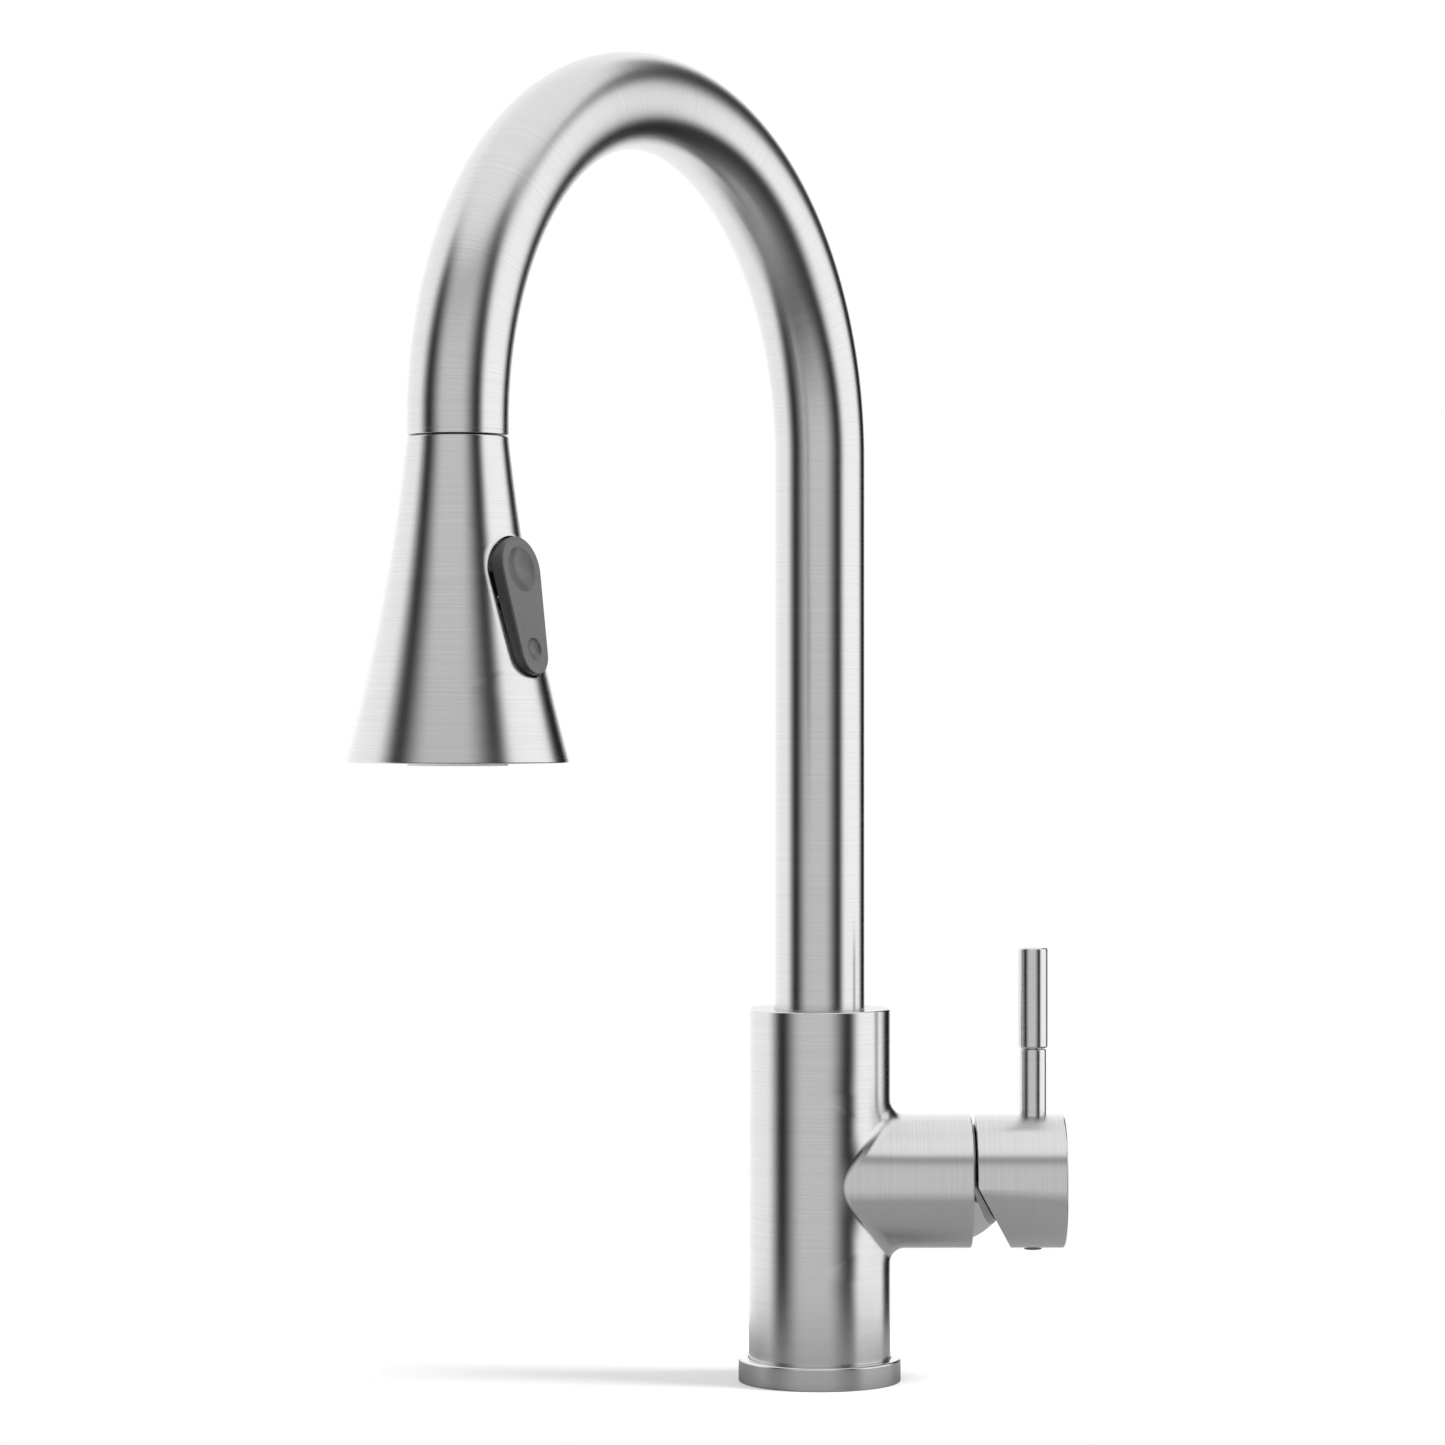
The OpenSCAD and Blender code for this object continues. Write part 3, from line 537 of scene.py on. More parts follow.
def column_and_boss():
    """Column and valve boss with their bores: two holed skins joined at the open ends."""
    bm = new_bm()
    count = 128
    corners = [count // 8, 3 * count // 8, 5 * count // 8, 7 * count // 8]
    lk, along, painted_edge_highlight = lay(bm, "k"), lay(bm, "along"), lay(bm, "painted_edge_highlight")
    lip_r, lip_h = TUBE_R + 0.3 * MM, 2.1 * MM
    loops = {}
    for kind, tube, boss, blend, reach_x in (
            ("out", BODY_R, BOSS_R, 4.5 * MM, BOSS_END),
            ("in", BORE_R, BOSS_R - 2.8 * MM, 0.4 * MM, BOSS_END - POCKET_DEPTH)):
        def angle(k):
            return TAU * k / count

        def ball(k):
            y, z = (boss + blend) * math.cos(angle(k)), (boss + blend) * math.sin(angle(k))
            return Vector((math.sqrt((tube + blend) ** 2 - y * y), y, VALVE_Z + z))

        def on_boss(k, x):
            return Vector((x, boss * math.cos(angle(k)), VALVE_Z + boss * math.sin(angle(k))))

        hole = []
        for k in range(count):
            b = ball(k)
            hole.append((math.atan2(b.y, b.x), b.z))
        low_end, high_end = (body_low.z, body_high.z)
        rounding = 0.5 * MM if kind == "out" else 0
        found = holed_skin(
            bm, hole, corners, math.radians(102), (VALVE_Z - 29.5 * MM, VALVE_Z + 29.5 * MM),
            [VALVE_Z - 40 * MM, low_end + 8 * MM, low_end + 2 * MM, low_end],
            [VALVE_Z + 38 * MM, high_end - 8 * MM, high_end - 2 * MM, high_end - (rounding or lip_h)],
            lambda u, v: Vector((tube * math.cos(u), tube * math.sin(u), v)))
        edges = found["hole"]
        steps = 10 if kind == "out" else 3
        for i in range(1, steps + 1):

            def place(v):
                k = round(v[lk])
                b = ball(k)
                touch = Vector((b.x, b.y, 0)) * tube / (tube + blend)
                touch.z = b.z
                return arc(b, touch, on_boss(k, b.x), steps)[i]

            edges = grow(bm, edges, place)
        nearest = tube + blend + 1 * MM
        stops = [nearest, nearest + (reach_x - nearest) * 0.5]
        if kind == "out":
            stops += [reach_x - 0.9 * MM, reach_x - 0.35 * MM]
        else:
            stops += [reach_x - 0.3 * MM, reach_x]
        for x in stops:
            edges = grow(bm, edges, lambda v: on_boss(round(v[lk]), x))
        loops[kind] = (found, edges)
    edges = loops["out"][1]
    # The rounded end of the boss gets the painted edge highlight; the pocket after it gets none.
    for i in range(1, 5):
        a = math.pi / 2 * i / 4

        def place(v):
            v[painted_edge_highlight] = 1
            p = on_ring(v, BOSS_R - 0.35 * MM * (1 - math.cos(a)), lk, count)
            p.x = BOSS_END - 0.35 * MM * (1 - math.sin(a))
            return p

        edges = grow(bm, edges, place)
    for radius, x in ((BOSS_R - 0.6 * MM, BOSS_END), (POCKET_R + 0.15 * MM, BOSS_END),
                      (POCKET_R, BOSS_END - 0.15 * MM), (POCKET_R, BOSS_END - 1 * MM),
                      (POCKET_R, BOSS_END - POCKET_DEPTH)):

        def place(v):
            v[painted_edge_highlight] = 0
            p = on_ring(v, radius, lk, count)
            p.x = x
            return p

        edges = grow(bm, edges, place)
    join(bm, edges, loops["in"][1])
    top = loops["out"][0]["high"]
    # The column's rounded top edge gets the painted edge highlight; the lip inside gets none.
    for radius, z in ([(BODY_R - 0.5 * MM * (1 - math.cos(math.pi / 2 * i / 4)),
                        body_high.z - 0.5 * MM * (1 - math.sin(math.pi / 2 * i / 4))) for i in range(1, 5)]
                      + [(BODY_R - 0.8 * MM, body_high.z), (lip_r + 0.3 * MM, body_high.z),
                         (lip_r, body_high.z - 0.3 * MM), (lip_r, body_high.z - lip_h)]):

        def place(v):
            v[painted_edge_highlight] = 1 if radius > BODY_R - 0.6 * MM else 0
            flat = Vector((v.co.x, v.co.y, 0)).normalized() * radius
            flat.z = z
            return flat

        top = grow(bm, top, place)
    join(bm, top, loops["in"][0]["high"])
    join(bm, loops["out"][0]["low"], loops["in"][0]["low"])
    return bm


def on_ring(v, radius, lk, count):
    """A boss point moved to a radius round the valve's axis."""
    a = TAU * round(v[lk]) / count
    return Vector((v.co.x, radius * math.cos(a), VALVE_Z + radius * math.sin(a)))


finish_mesh("faucet_body_look", column_and_boss(), "base", STEEL, ["faucet_body"],
            around=lambda c: c.x > 0 and math.hypot(c.x, c.y) > BODY_R + 0.15 * MM)


# ---- Bonnet dome, cap, lever ----

dome_r = 19 * MM
dome_wall = 1.6 * MM
dome_hole = 12.6 * MM
skirt_r = dome_r - 0.6 * MM
skirt_foot = dome_low.x
meet = math.asin(skirt_r / dome_r)
hole_turn = math.asin(dome_hole / dome_r)
inner_r = dome_r - dome_wall
inner_turn = math.asin((dome_hole + 0.1 * MM) / inner_r)
section = [(Vector((skirt_r, skirt_foot)), 0)]
# The dome's last outer points, at the rim of its hole, get the painted edge highlight.
for i in range(25):
    a = meet + (hole_turn - meet) * i / 24
    section.append((Vector((dome_r * math.sin(a), pivot.x + dome_r * math.cos(a))), 1 if i > 22 else 0))
for i in range(17):
    a = inner_turn + (math.pi / 2 - inner_turn) * i / 16
    section.append((Vector((inner_r * math.sin(a), pivot.x + inner_r * math.cos(a))), 0))
section.append((Vector((skirt_r - dome_wall, skirt_foot)), 0))
finish_mesh("bonnet_look", spun(section), "base", looks["polished_steel"], ["bonnet"],
            ON_VALVE)

cap_start, cap_end = cap_low.x, cap_high.x
cavity_r = dome_r + 0.7 * MM
cavity_turn = math.acos((cap_start - pivot.x) / cavity_r)
cavity_mouth = cavity_r * math.sin(cavity_turn)
section = []
for i in range(21):
    a = cavity_turn * i / 20
    section.append((Vector((cavity_r * math.sin(a), pivot.x + cavity_r * math.cos(a))), 0))
section += rounded([(cavity_mouth, cap_start), (BOSS_R, cap_start, 0.3 * MM), (BOSS_R, cap_end, 0.55 * MM),
                    (0, cap_end)], closed=False)[1:]
cap = spun(section, closed=False)
bmesh.ops.transform(cap, matrix=ON_VALVE, verts=cap.verts)
CUT_ANGLE = math.radians(28.4)
cut = bmesh.ops.bisect_plane(
    cap, geom=cap.verts[:] + cap.edges[:] + cap.faces[:], dist=1e-7, plane_co=(cap_start, 0, VALVE_Z),
    plane_no=(-math.cos(CUT_ANGLE), 0, -math.sin(CUT_ANGLE)), clear_outer=True)
rim = [g for g in cut["geom_cut"] if isinstance(g, bmesh.types.BMEdge) and g.is_boundary]
bmesh.ops.contextual_create(cap, geom=rim)
flat = [f for f in cap.faces if len(f.verts) > 12]
bmesh.ops.bevel(cap, geom=[e for f in flat for e in f.edges], offset=0.22 * MM, offset_type="OFFSET",
                segments=2, profile=0.5, affect="EDGES", material=-1, clamp_overlap=True)
bmesh.ops.triangulate(cap, faces=[f for f in cap.faces if len(f.verts) > 4])
finish_mesh("handle_cap_look", cap, "handle", STEEL, ["handle_cap"], around=lambda c: True)

rod_r = rod_high.y
foot = VALVE_Z + 8 * MM
rod_top = grip_low.z - 0.25 * MM
tang_r = rod_r - 1.1 * MM
rod = spun(rounded([(0, foot), (rod_r, foot), (rod_r, rod_top, 0.5 * MM), (tang_r, rod_top),
                    (tang_r, rod_high.z), (0, rod_high.z)], closed=False), closed=False, steps=96)
finish_mesh("lever_rod_look", rod, "handle", STEEL, ["lever_rod"], ON_LEVER)
grip_r = grip_high.y
socket_r = tang_r + 0.1 * MM
grip = spun(rounded([(0, rod_high.z + 0.1 * MM), (socket_r, rod_high.z + 0.1 * MM), (socket_r, grip_low.z),
                     (grip_r, grip_low.z, 0.75 * MM), (grip_r, grip_high.z, 0.7 * MM),
                     (0, grip_high.z)], closed=False), closed=False, steps=96)
finish_mesh("lever_grip_look", grip, "handle", STEEL, ["lever_grip"], ON_LEVER)
plug_r = plug_high.y
plug = spun(rounded([(0, plug_high.z), (plug_r, plug_high.z), (plug_r, plug_low.z, 0.4 * MM),
                     (0, plug_low.z)], closed=False), closed=False, steps=72)
finish_mesh("screw_plug_look", plug, "handle", looks["plug_plastic"], ["screw_plug"],
            ON_LEVER)


# ---- Spout ----

def arch_tube(outer, inner, foot_z, spring_z, end_z, sides=96, bend=96):
    """Tube that rises on the Z axis, turns over in a half circle and comes down."""
    bm = new_bm()
    along, painted_edge_highlight = lay(bm, "along"), lay(bm, "painted_edge_highlight")
    half = REACH / 2
    stations = [(foot_z, 0), (foot_z + 1 * MM, 0), ((foot_z + spring_z) / 2, 0)]
    stations += [(spring_z, math.pi * i / bend) for i in range(bend + 1)]
    stations += [(end_z + 0.2 * MM, math.pi), (end_z + 0.04 * MM, math.pi), (end_z, math.pi)]
    last = {}
    for radius in (outer, inner):
        ring = bmesh.ops.create_circle(bm, cap_ends=False, segments=sides, radius=radius)["verts"]
        edges = list({e for v in ring for e in v.link_edges})
        first = edges
        for v in ring:
            v.co.z = foot_z
            v[lay(bm, "u")], v[lay(bm, "v")] = v.co.x, v.co.y
            v[along] = 0
        travelled = 0
        before = None
        for z, turn in stations[1:]:
            centre = Vector((0, -half + half * math.cos(turn), z + half * math.sin(turn)))
            travelled += (centre - before).length if before is not None else centre.z - foot_z
            before = centre
            # The slightly inset ring at the tube's end gets the painted edge highlight.
            inset = 0.04 * MM if z == end_z and turn > 0 and radius == outer else 0

            def place(v):
                x, y = v[lay(bm, "u")] * (1 - inset / radius), v[lay(bm, "v")] * (1 - inset / radius)
                v[along] = travelled
                v[painted_edge_highlight] = 1 if inset else 0
                return centre + Vector((x, y * math.cos(turn), y * math.sin(turn)))

            edges = grow(bm, edges, place)
        last[radius] = (first, edges)
    for i in (0, 1):
        join(bm, last[outer][i], last[inner][i])
    return bm


def tube_grain(obj):
    """Sets grain directions on the arch: round the tube and along its middle line."""
    mesh, half = obj.data, REACH / 2
    uv = mesh.uv_layers["grain"].data
    along = mesh.attributes["along"].data
    back = ON_SPOUT.inverted()
    for poly in mesh.polygons:
        turns = []
        for li in poly.loop_indices:
            co = back @ mesh.vertices[mesh.loops[li].vertex_index].co
            if co.z > SPRING_Z:
                a = math.atan2(co.z - SPRING_Z, co.y + half)
                y = math.hypot(co.z - SPRING_Z, co.y + half) - half
            else:
                y = co.y if co.y > -half else -(co.y + REACH)
            turns.append(math.atan2(y, co.x))
        mid = turns[0]
        for li, turn in zip(poly.loop_indices, turns):
            turn = mid + (turn - mid + math.pi) % TAU - math.pi
            uv[li].uv = (turn * TUBE_R, along[mesh.loops[li].vertex_index].value)


SPRING_Z = tube_high.z - REACH / 2 - TUBE_R
TUBE_WALL, COLLAR_FLANGE = 1.5 * MM, 1.3 * MM
arch = arch_tube(TUBE_R, TUBE_R - TUBE_WALL, tube_low.z, SPRING_Z, collar_low.z + COLLAR_FLANGE)
tube = finish_mesh("spout_tube_look", arch, "spout", STEEL, ["spout_tube"], ON_SPOUT)
tube_grain(tube)

# Dock collar: a flange that closes the tube's end, and a sleeve inside it with a groove for the magnet
flange_top = collar_low.z + COLLAR_FLANGE
sleeve_r = (magnet_high.x - magnet_low.x) / 2 + 0.55 * MM
sleeve_wall, bore_wall, groove_floor, lip_h = 0.5 * MM, 0.7 * MM, 1.4 * MM, 1.8 * MM
dock_bore = 9 * MM
hose_hole = run_high.x - head_at.x + 1 * MM
sleeve_top = collar_high.z
collar = spun(rounded([
    (dock_bore, collar_low.z, 0.3 * MM), (TUBE_R, collar_low.z, 0.15 * MM), (TUBE_R, flange_top, 0.04 * MM),
    (sleeve_r, flange_top), (sleeve_r, sleeve_top), (sleeve_r - sleeve_wall, sleeve_top),
    (sleeve_r - sleeve_wall, flange_top + groove_floor), (dock_bore + bore_wall, flange_top + groove_floor),
    (dock_bore + bore_wall, sleeve_top), (hose_hole, sleeve_top), (hose_hole, sleeve_top - lip_h),
    (dock_bore, sleeve_top - lip_h)]))
finish_mesh("dock_collar_look", collar, "spout", STEEL, ["dock_collar"],
            Matrix.Translation((head_at.x, head_at.y, 0)))


# ---- Spray head ----

FLARE_START = math.radians(6.2)
SHELL_WALL = 2 * MM
NECK_H = 1 * MM
flare_h, flare_w = HEAD_LEN - NECK_H, RIM_R - TUBE_R
flare_off = flare_w * math.cos(FLARE_START) - flare_h * math.sin(FLARE_START)
flare_r = (flare_w ** 2 + flare_h ** 2) / (2 * flare_off)
flare_x = TUBE_R + flare_r * math.cos(FLARE_START)
flare_z = flare_r * math.sin(FLARE_START) - NECK_H


def head_r(depth, inset=0.0):
    """Radius of the head at a depth below its seam."""
    if depth < NECK_H:
        return TUBE_R - inset
    return flare_x - math.sqrt((flare_r + inset) ** 2 - (depth + flare_z) ** 2)


rocker_r = head_r(ROCKER_DROP)
rocker_lean = math.asin((ROCKER_DROP + flare_z) / flare_r)
ROCKER_LEN, TOP_R, FOOT_R = 38.1 * MM, 9 * MM, 6.3 * MM
ROCKER_PROUD, WINDOW_GAP = 2.2 * MM, 0.45 * MM
top_y, foot_y = ROCKER_LEN / 2 - TOP_R, FOOT_R - ROCKER_LEN / 2
side_lean = math.asin((TOP_R - FOOT_R) / (top_y - foot_y))
# outline x, y and height lie along the head's Y, Z and X
ON_FLANK = (Matrix.Translation((rocker_r, 0, -ROCKER_DROP)) @ Matrix.Rotation(-rocker_lean, 4, "Y")
            @ Matrix(((0, 0, 1, 0), (1, 0, 0, 0), (0, 1, 0, 0), (0, 0, 0, 1))))
OUTLINE = []
for i in range(41):
    OUTLINE.append((-side_lean + (math.pi + 2 * side_lean) * i / 40, 0.0))
for i in range(1, 16):
    OUTLINE.append((math.pi + side_lean, i / 16))
for i in range(33):
    OUTLINE.append((math.pi + side_lean + (math.pi - 2 * side_lean) * i / 32, 1.0))
for i in range(15, 0, -1):
    OUTLINE.append((-side_lean, i / 16))


def outline_point(k, margin, height=0.0):
    """Point k of the rocker's outline, grown by a margin, at a height off the flank."""
    a, share = OUTLINE[k]
    r = TOP_R + (FOOT_R - TOP_R) * share + margin
    y = top_y + (foot_y - top_y) * share
    return Vector((r * math.cos(a), y + r * math.sin(a), height))


def on_skin(k, margin, inset):
    """(turn, height) where the flank's outline point meets the head's skin."""
    here = ON_FLANK @ outline_point(k, margin)
    out = (ON_FLANK.to_3x3() @ Vector((0, 0, 1))).normalized()
    for _ in range(12):
        here += out * (head_r(-here.z, inset) - math.hypot(here.x, here.y))
    return math.atan2(here.y, here.x), here.z


def head_skin():
    """Flared shell with its wall, mouth, spigot hole and rocker window."""
    bm = new_bm()
    count = len(OUTLINE)
    lk, painted_edge_highlight, along = lay(bm, "k"), lay(bm, "painted_edge_highlight"), lay(bm, "along")
    corners = [6, 34, 60, 84]
    loops = []
    top_wall = 2 * MM
    for inset in (0.0, SHELL_WALL):
        hole = [on_skin(k, WINDOW_GAP + (0.25 * MM if not inset else 0), inset) for k in range(count)]
        centre_v = -ROCKER_DROP
        low = [centre_v - 27 * MM, -HEAD_LEN * 0.88, -HEAD_LEN * 0.94, -HEAD_LEN + 1.6 * MM]
        low += [-HEAD_LEN + 0.5 * MM] if not inset else []
        high = [centre_v + 26 * MM, -12 * MM, -5 * MM, -2.6 * MM]
        high += [-NECK_H - 0.4 * MM, -0.7 * MM, -0.35 * MM] if not inset else [-top_wall]


        def skin(u, v):
            r = head_r(-v, inset)
            return Vector((r * math.cos(u), r * math.sin(u), v))

        loops.append(holed_skin(bm, hole, corners, math.radians(52), (centre_v - 22 * MM, centre_v + 22 * MM),
                                low, high, skin))
    outer, inner = loops

    # ring_step's last argument is the share of painted edge highlight on the new ring: full on the rounded
    # rims, none on the walls.
    def ring_step(edges, radius, z, painted_highlight_share):
        def place(v):
            v[painted_edge_highlight] = painted_highlight_share
            p = Vector((v.co.x, v.co.y, 0)).normalized() * radius
            p.z = z
            return p
        return grow(bm, edges, place)

    edges = outer["high"]
    for radius, z in ((TUBE_R - 0.1 * MM, -0.12 * MM), (TUBE_R - 0.35 * MM, 0), (TUBE_R - 0.6 * MM, 0),
                      (spigot_hole, 0), (spigot_hole, -top_wall)):
        edges = ring_step(edges, radius, z, 1 if radius > TUBE_R - 0.5 * MM else 0)
    join(bm, edges, inner["high"])
    edges = outer["low"]
    for radius, z in ((RIM_R, -HEAD_LEN + 0.35 * MM), (RIM_R - 0.12 * MM, -HEAD_LEN + 0.1 * MM),
                      (RIM_R - 0.36 * MM, -HEAD_LEN), (RIM_R - 0.6 * MM, -HEAD_LEN)):
        edges = ring_step(edges, radius - 0.1 * MM, z, 1)
    for depth in (HEAD_LEN, HEAD_LEN - 0.6 * MM):
        edges = ring_step(edges, head_r(depth, SHELL_WALL), -depth, 0)
    join(bm, edges, inner["low"])
    edges = outer["hole"]
    # The rocker window's edge gets a weaker painted edge highlight.
    for margin, sink in ((0.08 * MM, 0.05 * MM), (0.0, 0.25 * MM)):

        def place(v):
            v[painted_edge_highlight] = 0.6
            k = round(v[lk])
            u, w = on_skin(k, WINDOW_GAP + margin, sink)
            r = head_r(-w, sink)
            return Vector((r * math.cos(u), r * math.sin(u), w))

        edges = grow(bm, edges, place)
    join(bm, edges, inner["hole"])
    for v in bm.verts:
        v[along] = v.co.z
    return bm


spigot_hole = 8.8 * MM
finish_mesh("head_shell_look", head_skin(), "spray_head", STEEL, ["head_shell"], ON_HEAD)


def rocker_cap():
    """Rocker switch with rounded edges and two thumb dishes."""
    bm = new_bm()
    lk, painted_edge_highlight = lay(bm, "k"), lay(bm, "painted_edge_highlight")
    count = len(OUTLINE)
    rounding = 0.55 * MM
    skirt = -1.3 * MM
    start = bmesh.ops.create_circle(bm, cap_ends=False, segments=count, radius=1)["verts"]
    start.sort(key=lambda v: math.atan2(v.co.x, -v.co.y) % TAU)
    for k, v in enumerate(start):
        v[lk] = k
        v.co = outline_point(k, -1.5 * MM, skirt)
    floor_edges = list({e for v in start for e in v.link_edges})
    edges = floor_edges
    path = [(0, skirt), (0, ROCKER_PROUD - rounding - 0.3 * MM)]
    path += [(-rounding * (1 - math.cos(a)), ROCKER_PROUD - rounding * (1 - math.sin(a)))
             for a in (math.pi / 2 * i / 5 for i in range(6))]
    path.append((-rounding - 0.2 * MM, ROCKER_PROUD))
    # The rounded top edge gets the painted edge highlight mark, which the rocker's plain material does not
    # read.
    for margin, height in path:

        def place(v):
            v[painted_edge_highlight] = 1 if margin < 0 else 0
            return outline_point(round(v[lk]), margin, height)

        edges = grow(bm, edges, place)
    face_edges = list(edges)
    for along_y, width, depth in ((10 * MM, 12.5 * MM, 1.75 * MM), (-12 * MM, 6.3 * MM, 1.25 * MM)):
        half = width / 2
        big = (half ** 2 + depth ** 2) / (2 * depth)
        ring = bmesh.ops.create_circle(bm, cap_ends=False, segments=72, radius=half + 0.3 * MM)["verts"]
        for v in ring:
            v.co = Vector((v.co.x, v.co.y + along_y, ROCKER_PROUD))
        loop = list({e for v in ring for e in v.link_edges})
        face_edges += loop
        stops = [(half + 0.12 * MM, 0.0), (half, 0.02 * MM)]
        stops += [(half * s, depth - (big - math.sqrt(big ** 2 - (half * s) ** 2)) + 0.03 * MM * (1 - s))
                  for s in (0.96, 0.88, 0.76, 0.62, 0.46, 0.3, 0.14)]
        for radius, sink in stops:

            def place(v):
                flat = Vector((v.co.x, v.co.y - along_y, 0)).normalized() * radius
                return Vector((flat.x, flat.y + along_y, ROCKER_PROUD - sink))

            loop = grow(bm, loop, place)
        bmesh.ops.contextual_create(bm, geom=loop)
    bmesh.ops.triangle_fill(bm, use_beauty=True, use_dissolve=False, edges=face_edges)
    bmesh.ops.contextual_create(bm, geom=floor_edges)
    bmesh.ops.triangulate(bm, faces=[f for f in bm.faces if len(f.verts) > 4])
    return bm


finish_mesh("rocker_look", rocker_cap(), "rocker", looks["rocker_plastic"], ["rocker"],
            ON_HEAD @ ON_FLANK)


# ---- Hose that runs out with the head ----

def hose():
    """Straight run of hose with rings close enough to stretch evenly."""
    bm = new_bm()
    radius = (run_high.x - run_low.x) / 2
    ring = bmesh.ops.create_circle(bm, cap_ends=True, segments=48, radius=radius)["verts"]
    edges = list({e for v in ring for e in v.link_edges if e.is_boundary})
    rings = 64
    for v in ring:
        v.co += Vector((head_at.x, head_at.y, run_low.z))
    for i in range(1, rings + 1):
        z = run_low.z + (run_high.z - run_low.z) * i / rings

        def place(v):
            return Vector((v.co.x, v.co.y, z))

        edges = grow(bm, edges, place)
    bmesh.ops.contextual_create(bm, geom=edges)
    return bm


hose_obj = finish_mesh("hose_run_look", hose(), None, looks["braided_hose"], ["hose_run"])
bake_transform(hose_obj, "spout", "hose_end", (head_at.x, head_at.y, run_high.z),
         (head_at.x, head_at.y, run_low.z))


# ---- Stage, light and camera ----

floor_bm = bmesh.new()
bmesh.ops.create_circle(floor_bm, cap_ends=True, segments=128, radius=FLOOR_R)
floor_mesh = bpy.data.meshes.new("floor")
floor_bm.to_mesh(floor_mesh)
floor_bm.free()
floor = bpy.data.objects.new("floor", floor_mesh)
bpy.context.scene.collection.objects.link(floor)
floor_look = bpy.data.materials.new("floor")
floor_look.use_nodes = True
tree = floor_look.node_tree
sockets = next(n for n in tree.nodes if n.type == "BSDF_PRINCIPLED").inputs
eye_ray = node(tree, "ShaderNodeLightPath").outputs["Is Camera Ray"]
tree.links.new(shade_mix(tree, eye_ray, (0.21, 0.21, 0.21), (0.56, 0.56, 0.56)), sockets["Base Color"])
sockets["Roughness"].default_value = 0.9
sockets["Specular IOR Level"].default_value = 0.0
tree.links.new(maths(tree, "MULTIPLY", eye_ray, 0.22), sockets["Emission Strength"])
sockets["Emission Color"].default_value = (1, 1, 1, 1)
floor_mesh.materials.append(floor_look)

# Three soft panels stand round the object, with dark gaps between them. Each has its first and last azimuth
# in degrees from the camera's side, the width of its first and last fading edge, and its level.
PANELS = {"front": (-64, 46, 34, 36, 1.04), "right": (50, 139, 18, 26, 1.74),
          "back": (150, 292, 20, 28, 1.56)}
world = bpy.data.worlds.new("studio")
bpy.context.scene.world = world
world.use_nodes = True
tree = world.node_tree
tree.nodes.clear()
sky = node(tree, "ShaderNodeTexCoord").outputs["Generated"]
parts = node(tree, "ShaderNodeSeparateXYZ", {0: sky}).outputs
turn = maths(tree, "ARCTAN2", parts[0], maths(tree, "MULTIPLY", parts[1], -1.0))
azimuth = maths(tree, "DEGREES", turn)
side = 0.0
for first, last, fade_in, fade_out, strength in PANELS.values():
    past_first = maths(tree, "WRAP", maths(tree, "SUBTRACT", azimuth, first), 360.0, 0.0)
    width = last - first
    rise = node(tree, "ShaderNodeMapRange", {"Value": past_first, "From Min": 0.0, "From Max": fade_in},
                interpolation_type="SMOOTHSTEP").outputs["Result"]
    fall = node(tree, "ShaderNodeMapRange",
                {"Value": past_first, "From Min": width - fade_out, "From Max": width, "To Min": 1.0,
                 "To Max": 0.0},
                interpolation_type="SMOOTHSTEP").outputs["Result"]
    panel = maths(tree, "MULTIPLY", maths(tree, "MULTIPLY", rise, fall), strength)
    side = maths(tree, "ADD", side, panel)
up = maths(tree, "DEGREES", maths(tree, "ARCSINE", parts[2]))


def facing(direction, low, high):
    """Mask that is 1 round one azimuth, in degrees, and falls off round it."""
    near = maths(tree, "COSINE", maths(tree, "SUBTRACT", turn, math.radians(direction)))
    return spread(tree, near, low, high, 0.0, 1.0)


front_right = facing(35, -0.15, 0.25)
right = facing(95, 0.2, 0.75)
back_left = facing(-143, 0.1, 0.6)
gap = spread(tree, maths(tree, "ABSOLUTE", maths(tree, "SUBTRACT", up, 41.0)), 2.0, 12.0, 0.5, 0.0)
slant = maths(tree, "ABSOLUTE", up)
band_middle = maths(tree, "MULTIPLY_ADD", slant, -0.24, 141.0)
band_half = maths(tree, "MULTIPLY_ADD", slant, 0.24, 6.0)
off_band = maths(tree, "ABSOLUTE", maths(tree, "SUBTRACT", azimuth, band_middle))
band = spread(tree, maths(tree, "SUBTRACT", off_band, band_half), 0.0, 9.0, 0.85, 0.0)
side = maths(tree, "MULTIPLY", side, maths(tree, "SUBTRACT", 1.0, band))
seen_gap = maths(tree, "MULTIPLY", gap, front_right)
side = maths(tree, "MULTIPLY", side, maths(tree, "SUBTRACT", 1.0, seen_gap))
high = spread(tree, up, 45.0, 51.0, 0.0, 1.0)
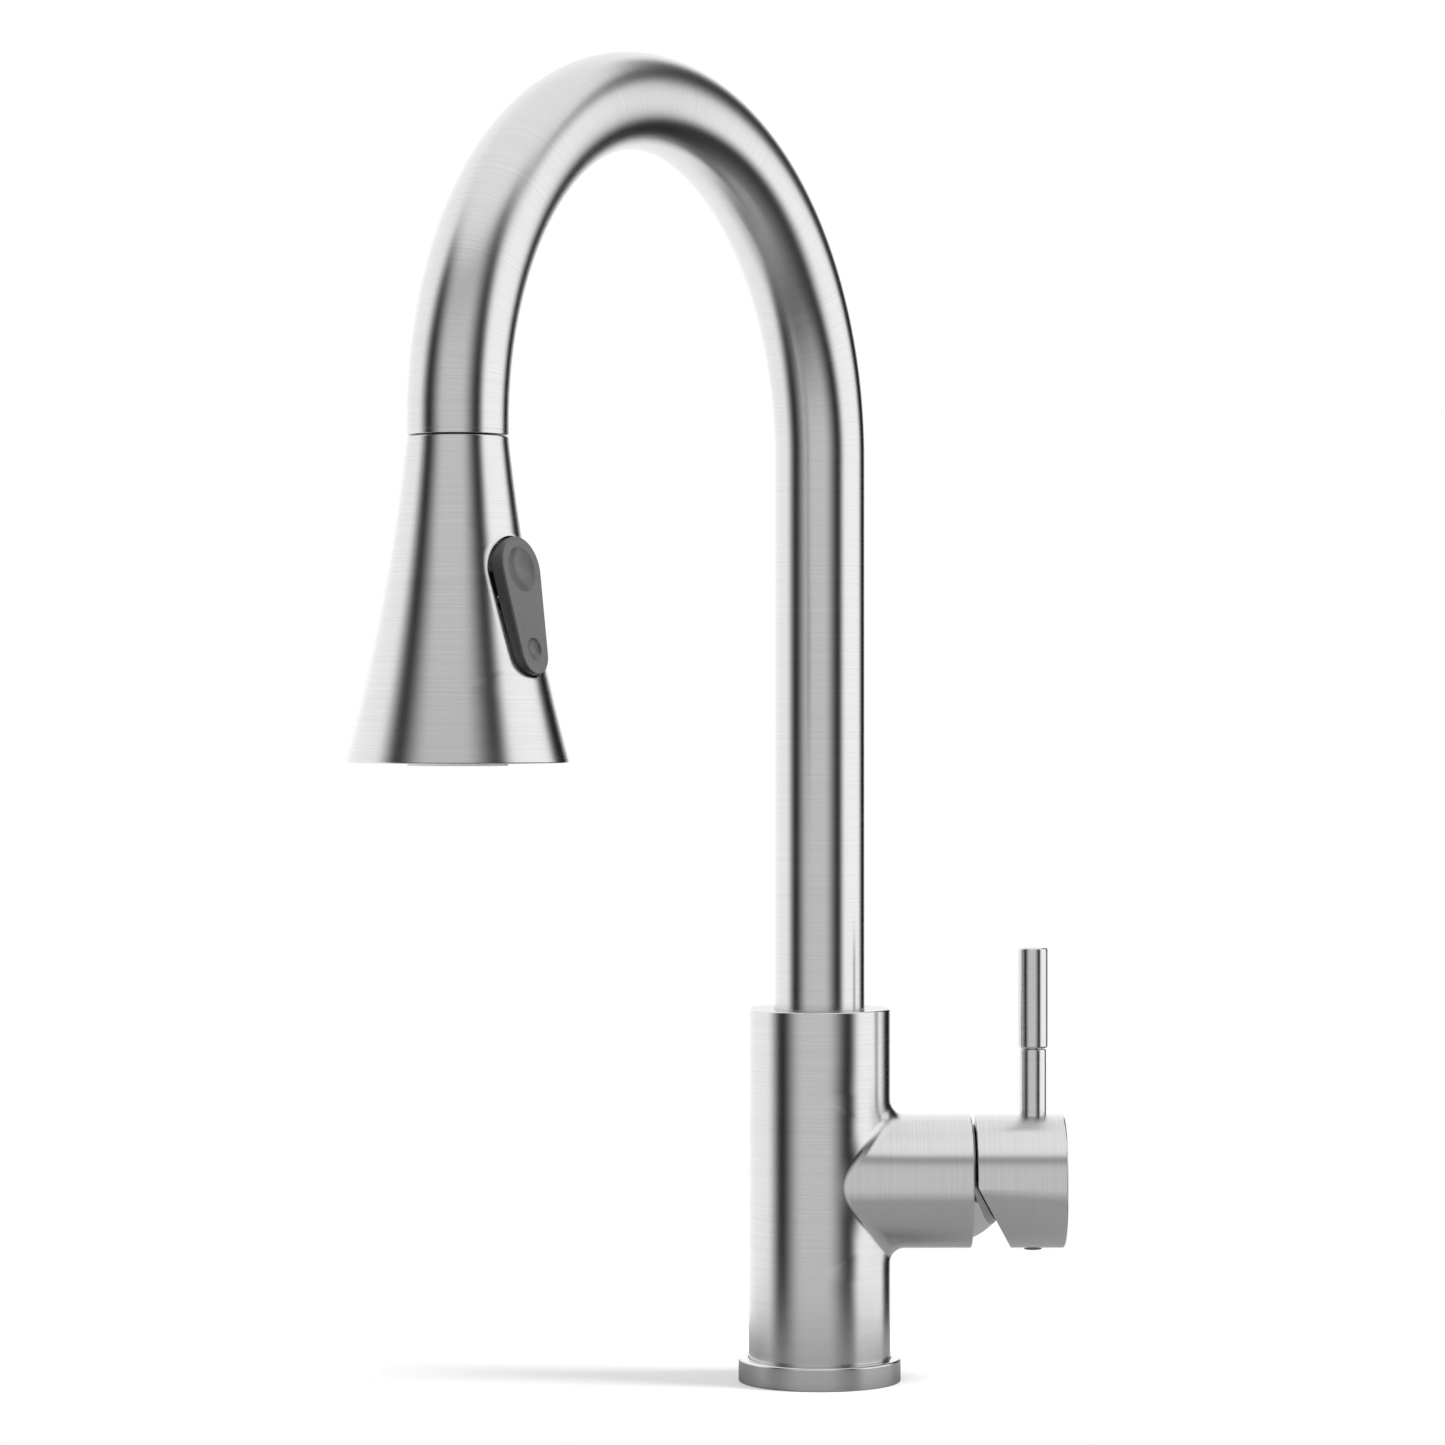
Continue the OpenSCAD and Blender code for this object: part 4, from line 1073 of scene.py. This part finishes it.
level = maths(tree, "ADD", maths(tree, "MULTIPLY", side, maths(tree, "SUBTRACT", 1.0, high)),
              maths(tree, "MULTIPLY", high, 1.45))
starts = maths(tree, "MULTIPLY_ADD", back_left, -33.0, maths(tree, "MULTIPLY_ADD", right, -6.0, -12.0))
ends = maths(tree, "MULTIPLY_ADD", back_left, -36.0, maths(tree, "MULTIPLY_ADD", right, 18.0, -50.0))
low = node(tree, "ShaderNodeMapRange",
           {"Value": up, "From Min": starts, "From Max": ends}).outputs["Result"]
under = spread(tree, up, -42.0, -78.0, 0.06, 0.5)
level = maths(tree, "ADD", maths(tree, "MULTIPLY", level, maths(tree, "SUBTRACT", 1.0, low)),
              maths(tree, "MULTIPLY", low, under))
around_light = node(tree, "ShaderNodeBackground", {"Strength": level}).outputs[0]
white = node(tree, "ShaderNodeBackground", {"Color": (1, 1, 1, 1), "Strength": 1.0}).outputs[0]
seen = node(tree, "ShaderNodeLightPath").outputs["Is Camera Ray"]
mix = node(tree, "ShaderNodeMixShader", {0: seen, 1: around_light, 2: white})
tree.links.new(mix.outputs[0], node(tree, "ShaderNodeOutputWorld").inputs[0])

for name, at, aim, size, energy in (
        ("key", (1.05, -0.15, 0.95), (0, 0, 0.05), 0.7, 36.0),
        ("fill", (-1.0, -1.2, 0.8), (0, 0, 0.2), 1.2, 6.0)):
    light = bpy.data.lights.new(name, "AREA")
    light.shape, light.size, light.energy = "DISK", size, energy
    lamp = bpy.data.objects.new(name, light)
    lamp.location = at
    lamp.rotation_euler = (Vector(aim) - Vector(at)).to_track_quat("-Z", "Y").to_euler()
    lamp.visible_glossy = False
    light.use_shadow = name == "key"
    bpy.context.scene.collection.objects.link(lamp)

camera = bpy.data.cameras.new("camera")
camera.lens = 108.26
camera.sensor_width = 36
eye = bpy.data.objects.new("camera", camera)
eye.location = (-0.0302, -1.3517, 0.2045)
eye.rotation_euler = (math.pi / 2, 0, 0)
bpy.context.scene.collection.objects.link(eye)
bpy.context.scene.camera = eye
bpy.context.scene.view_settings.view_transform = "Standard"
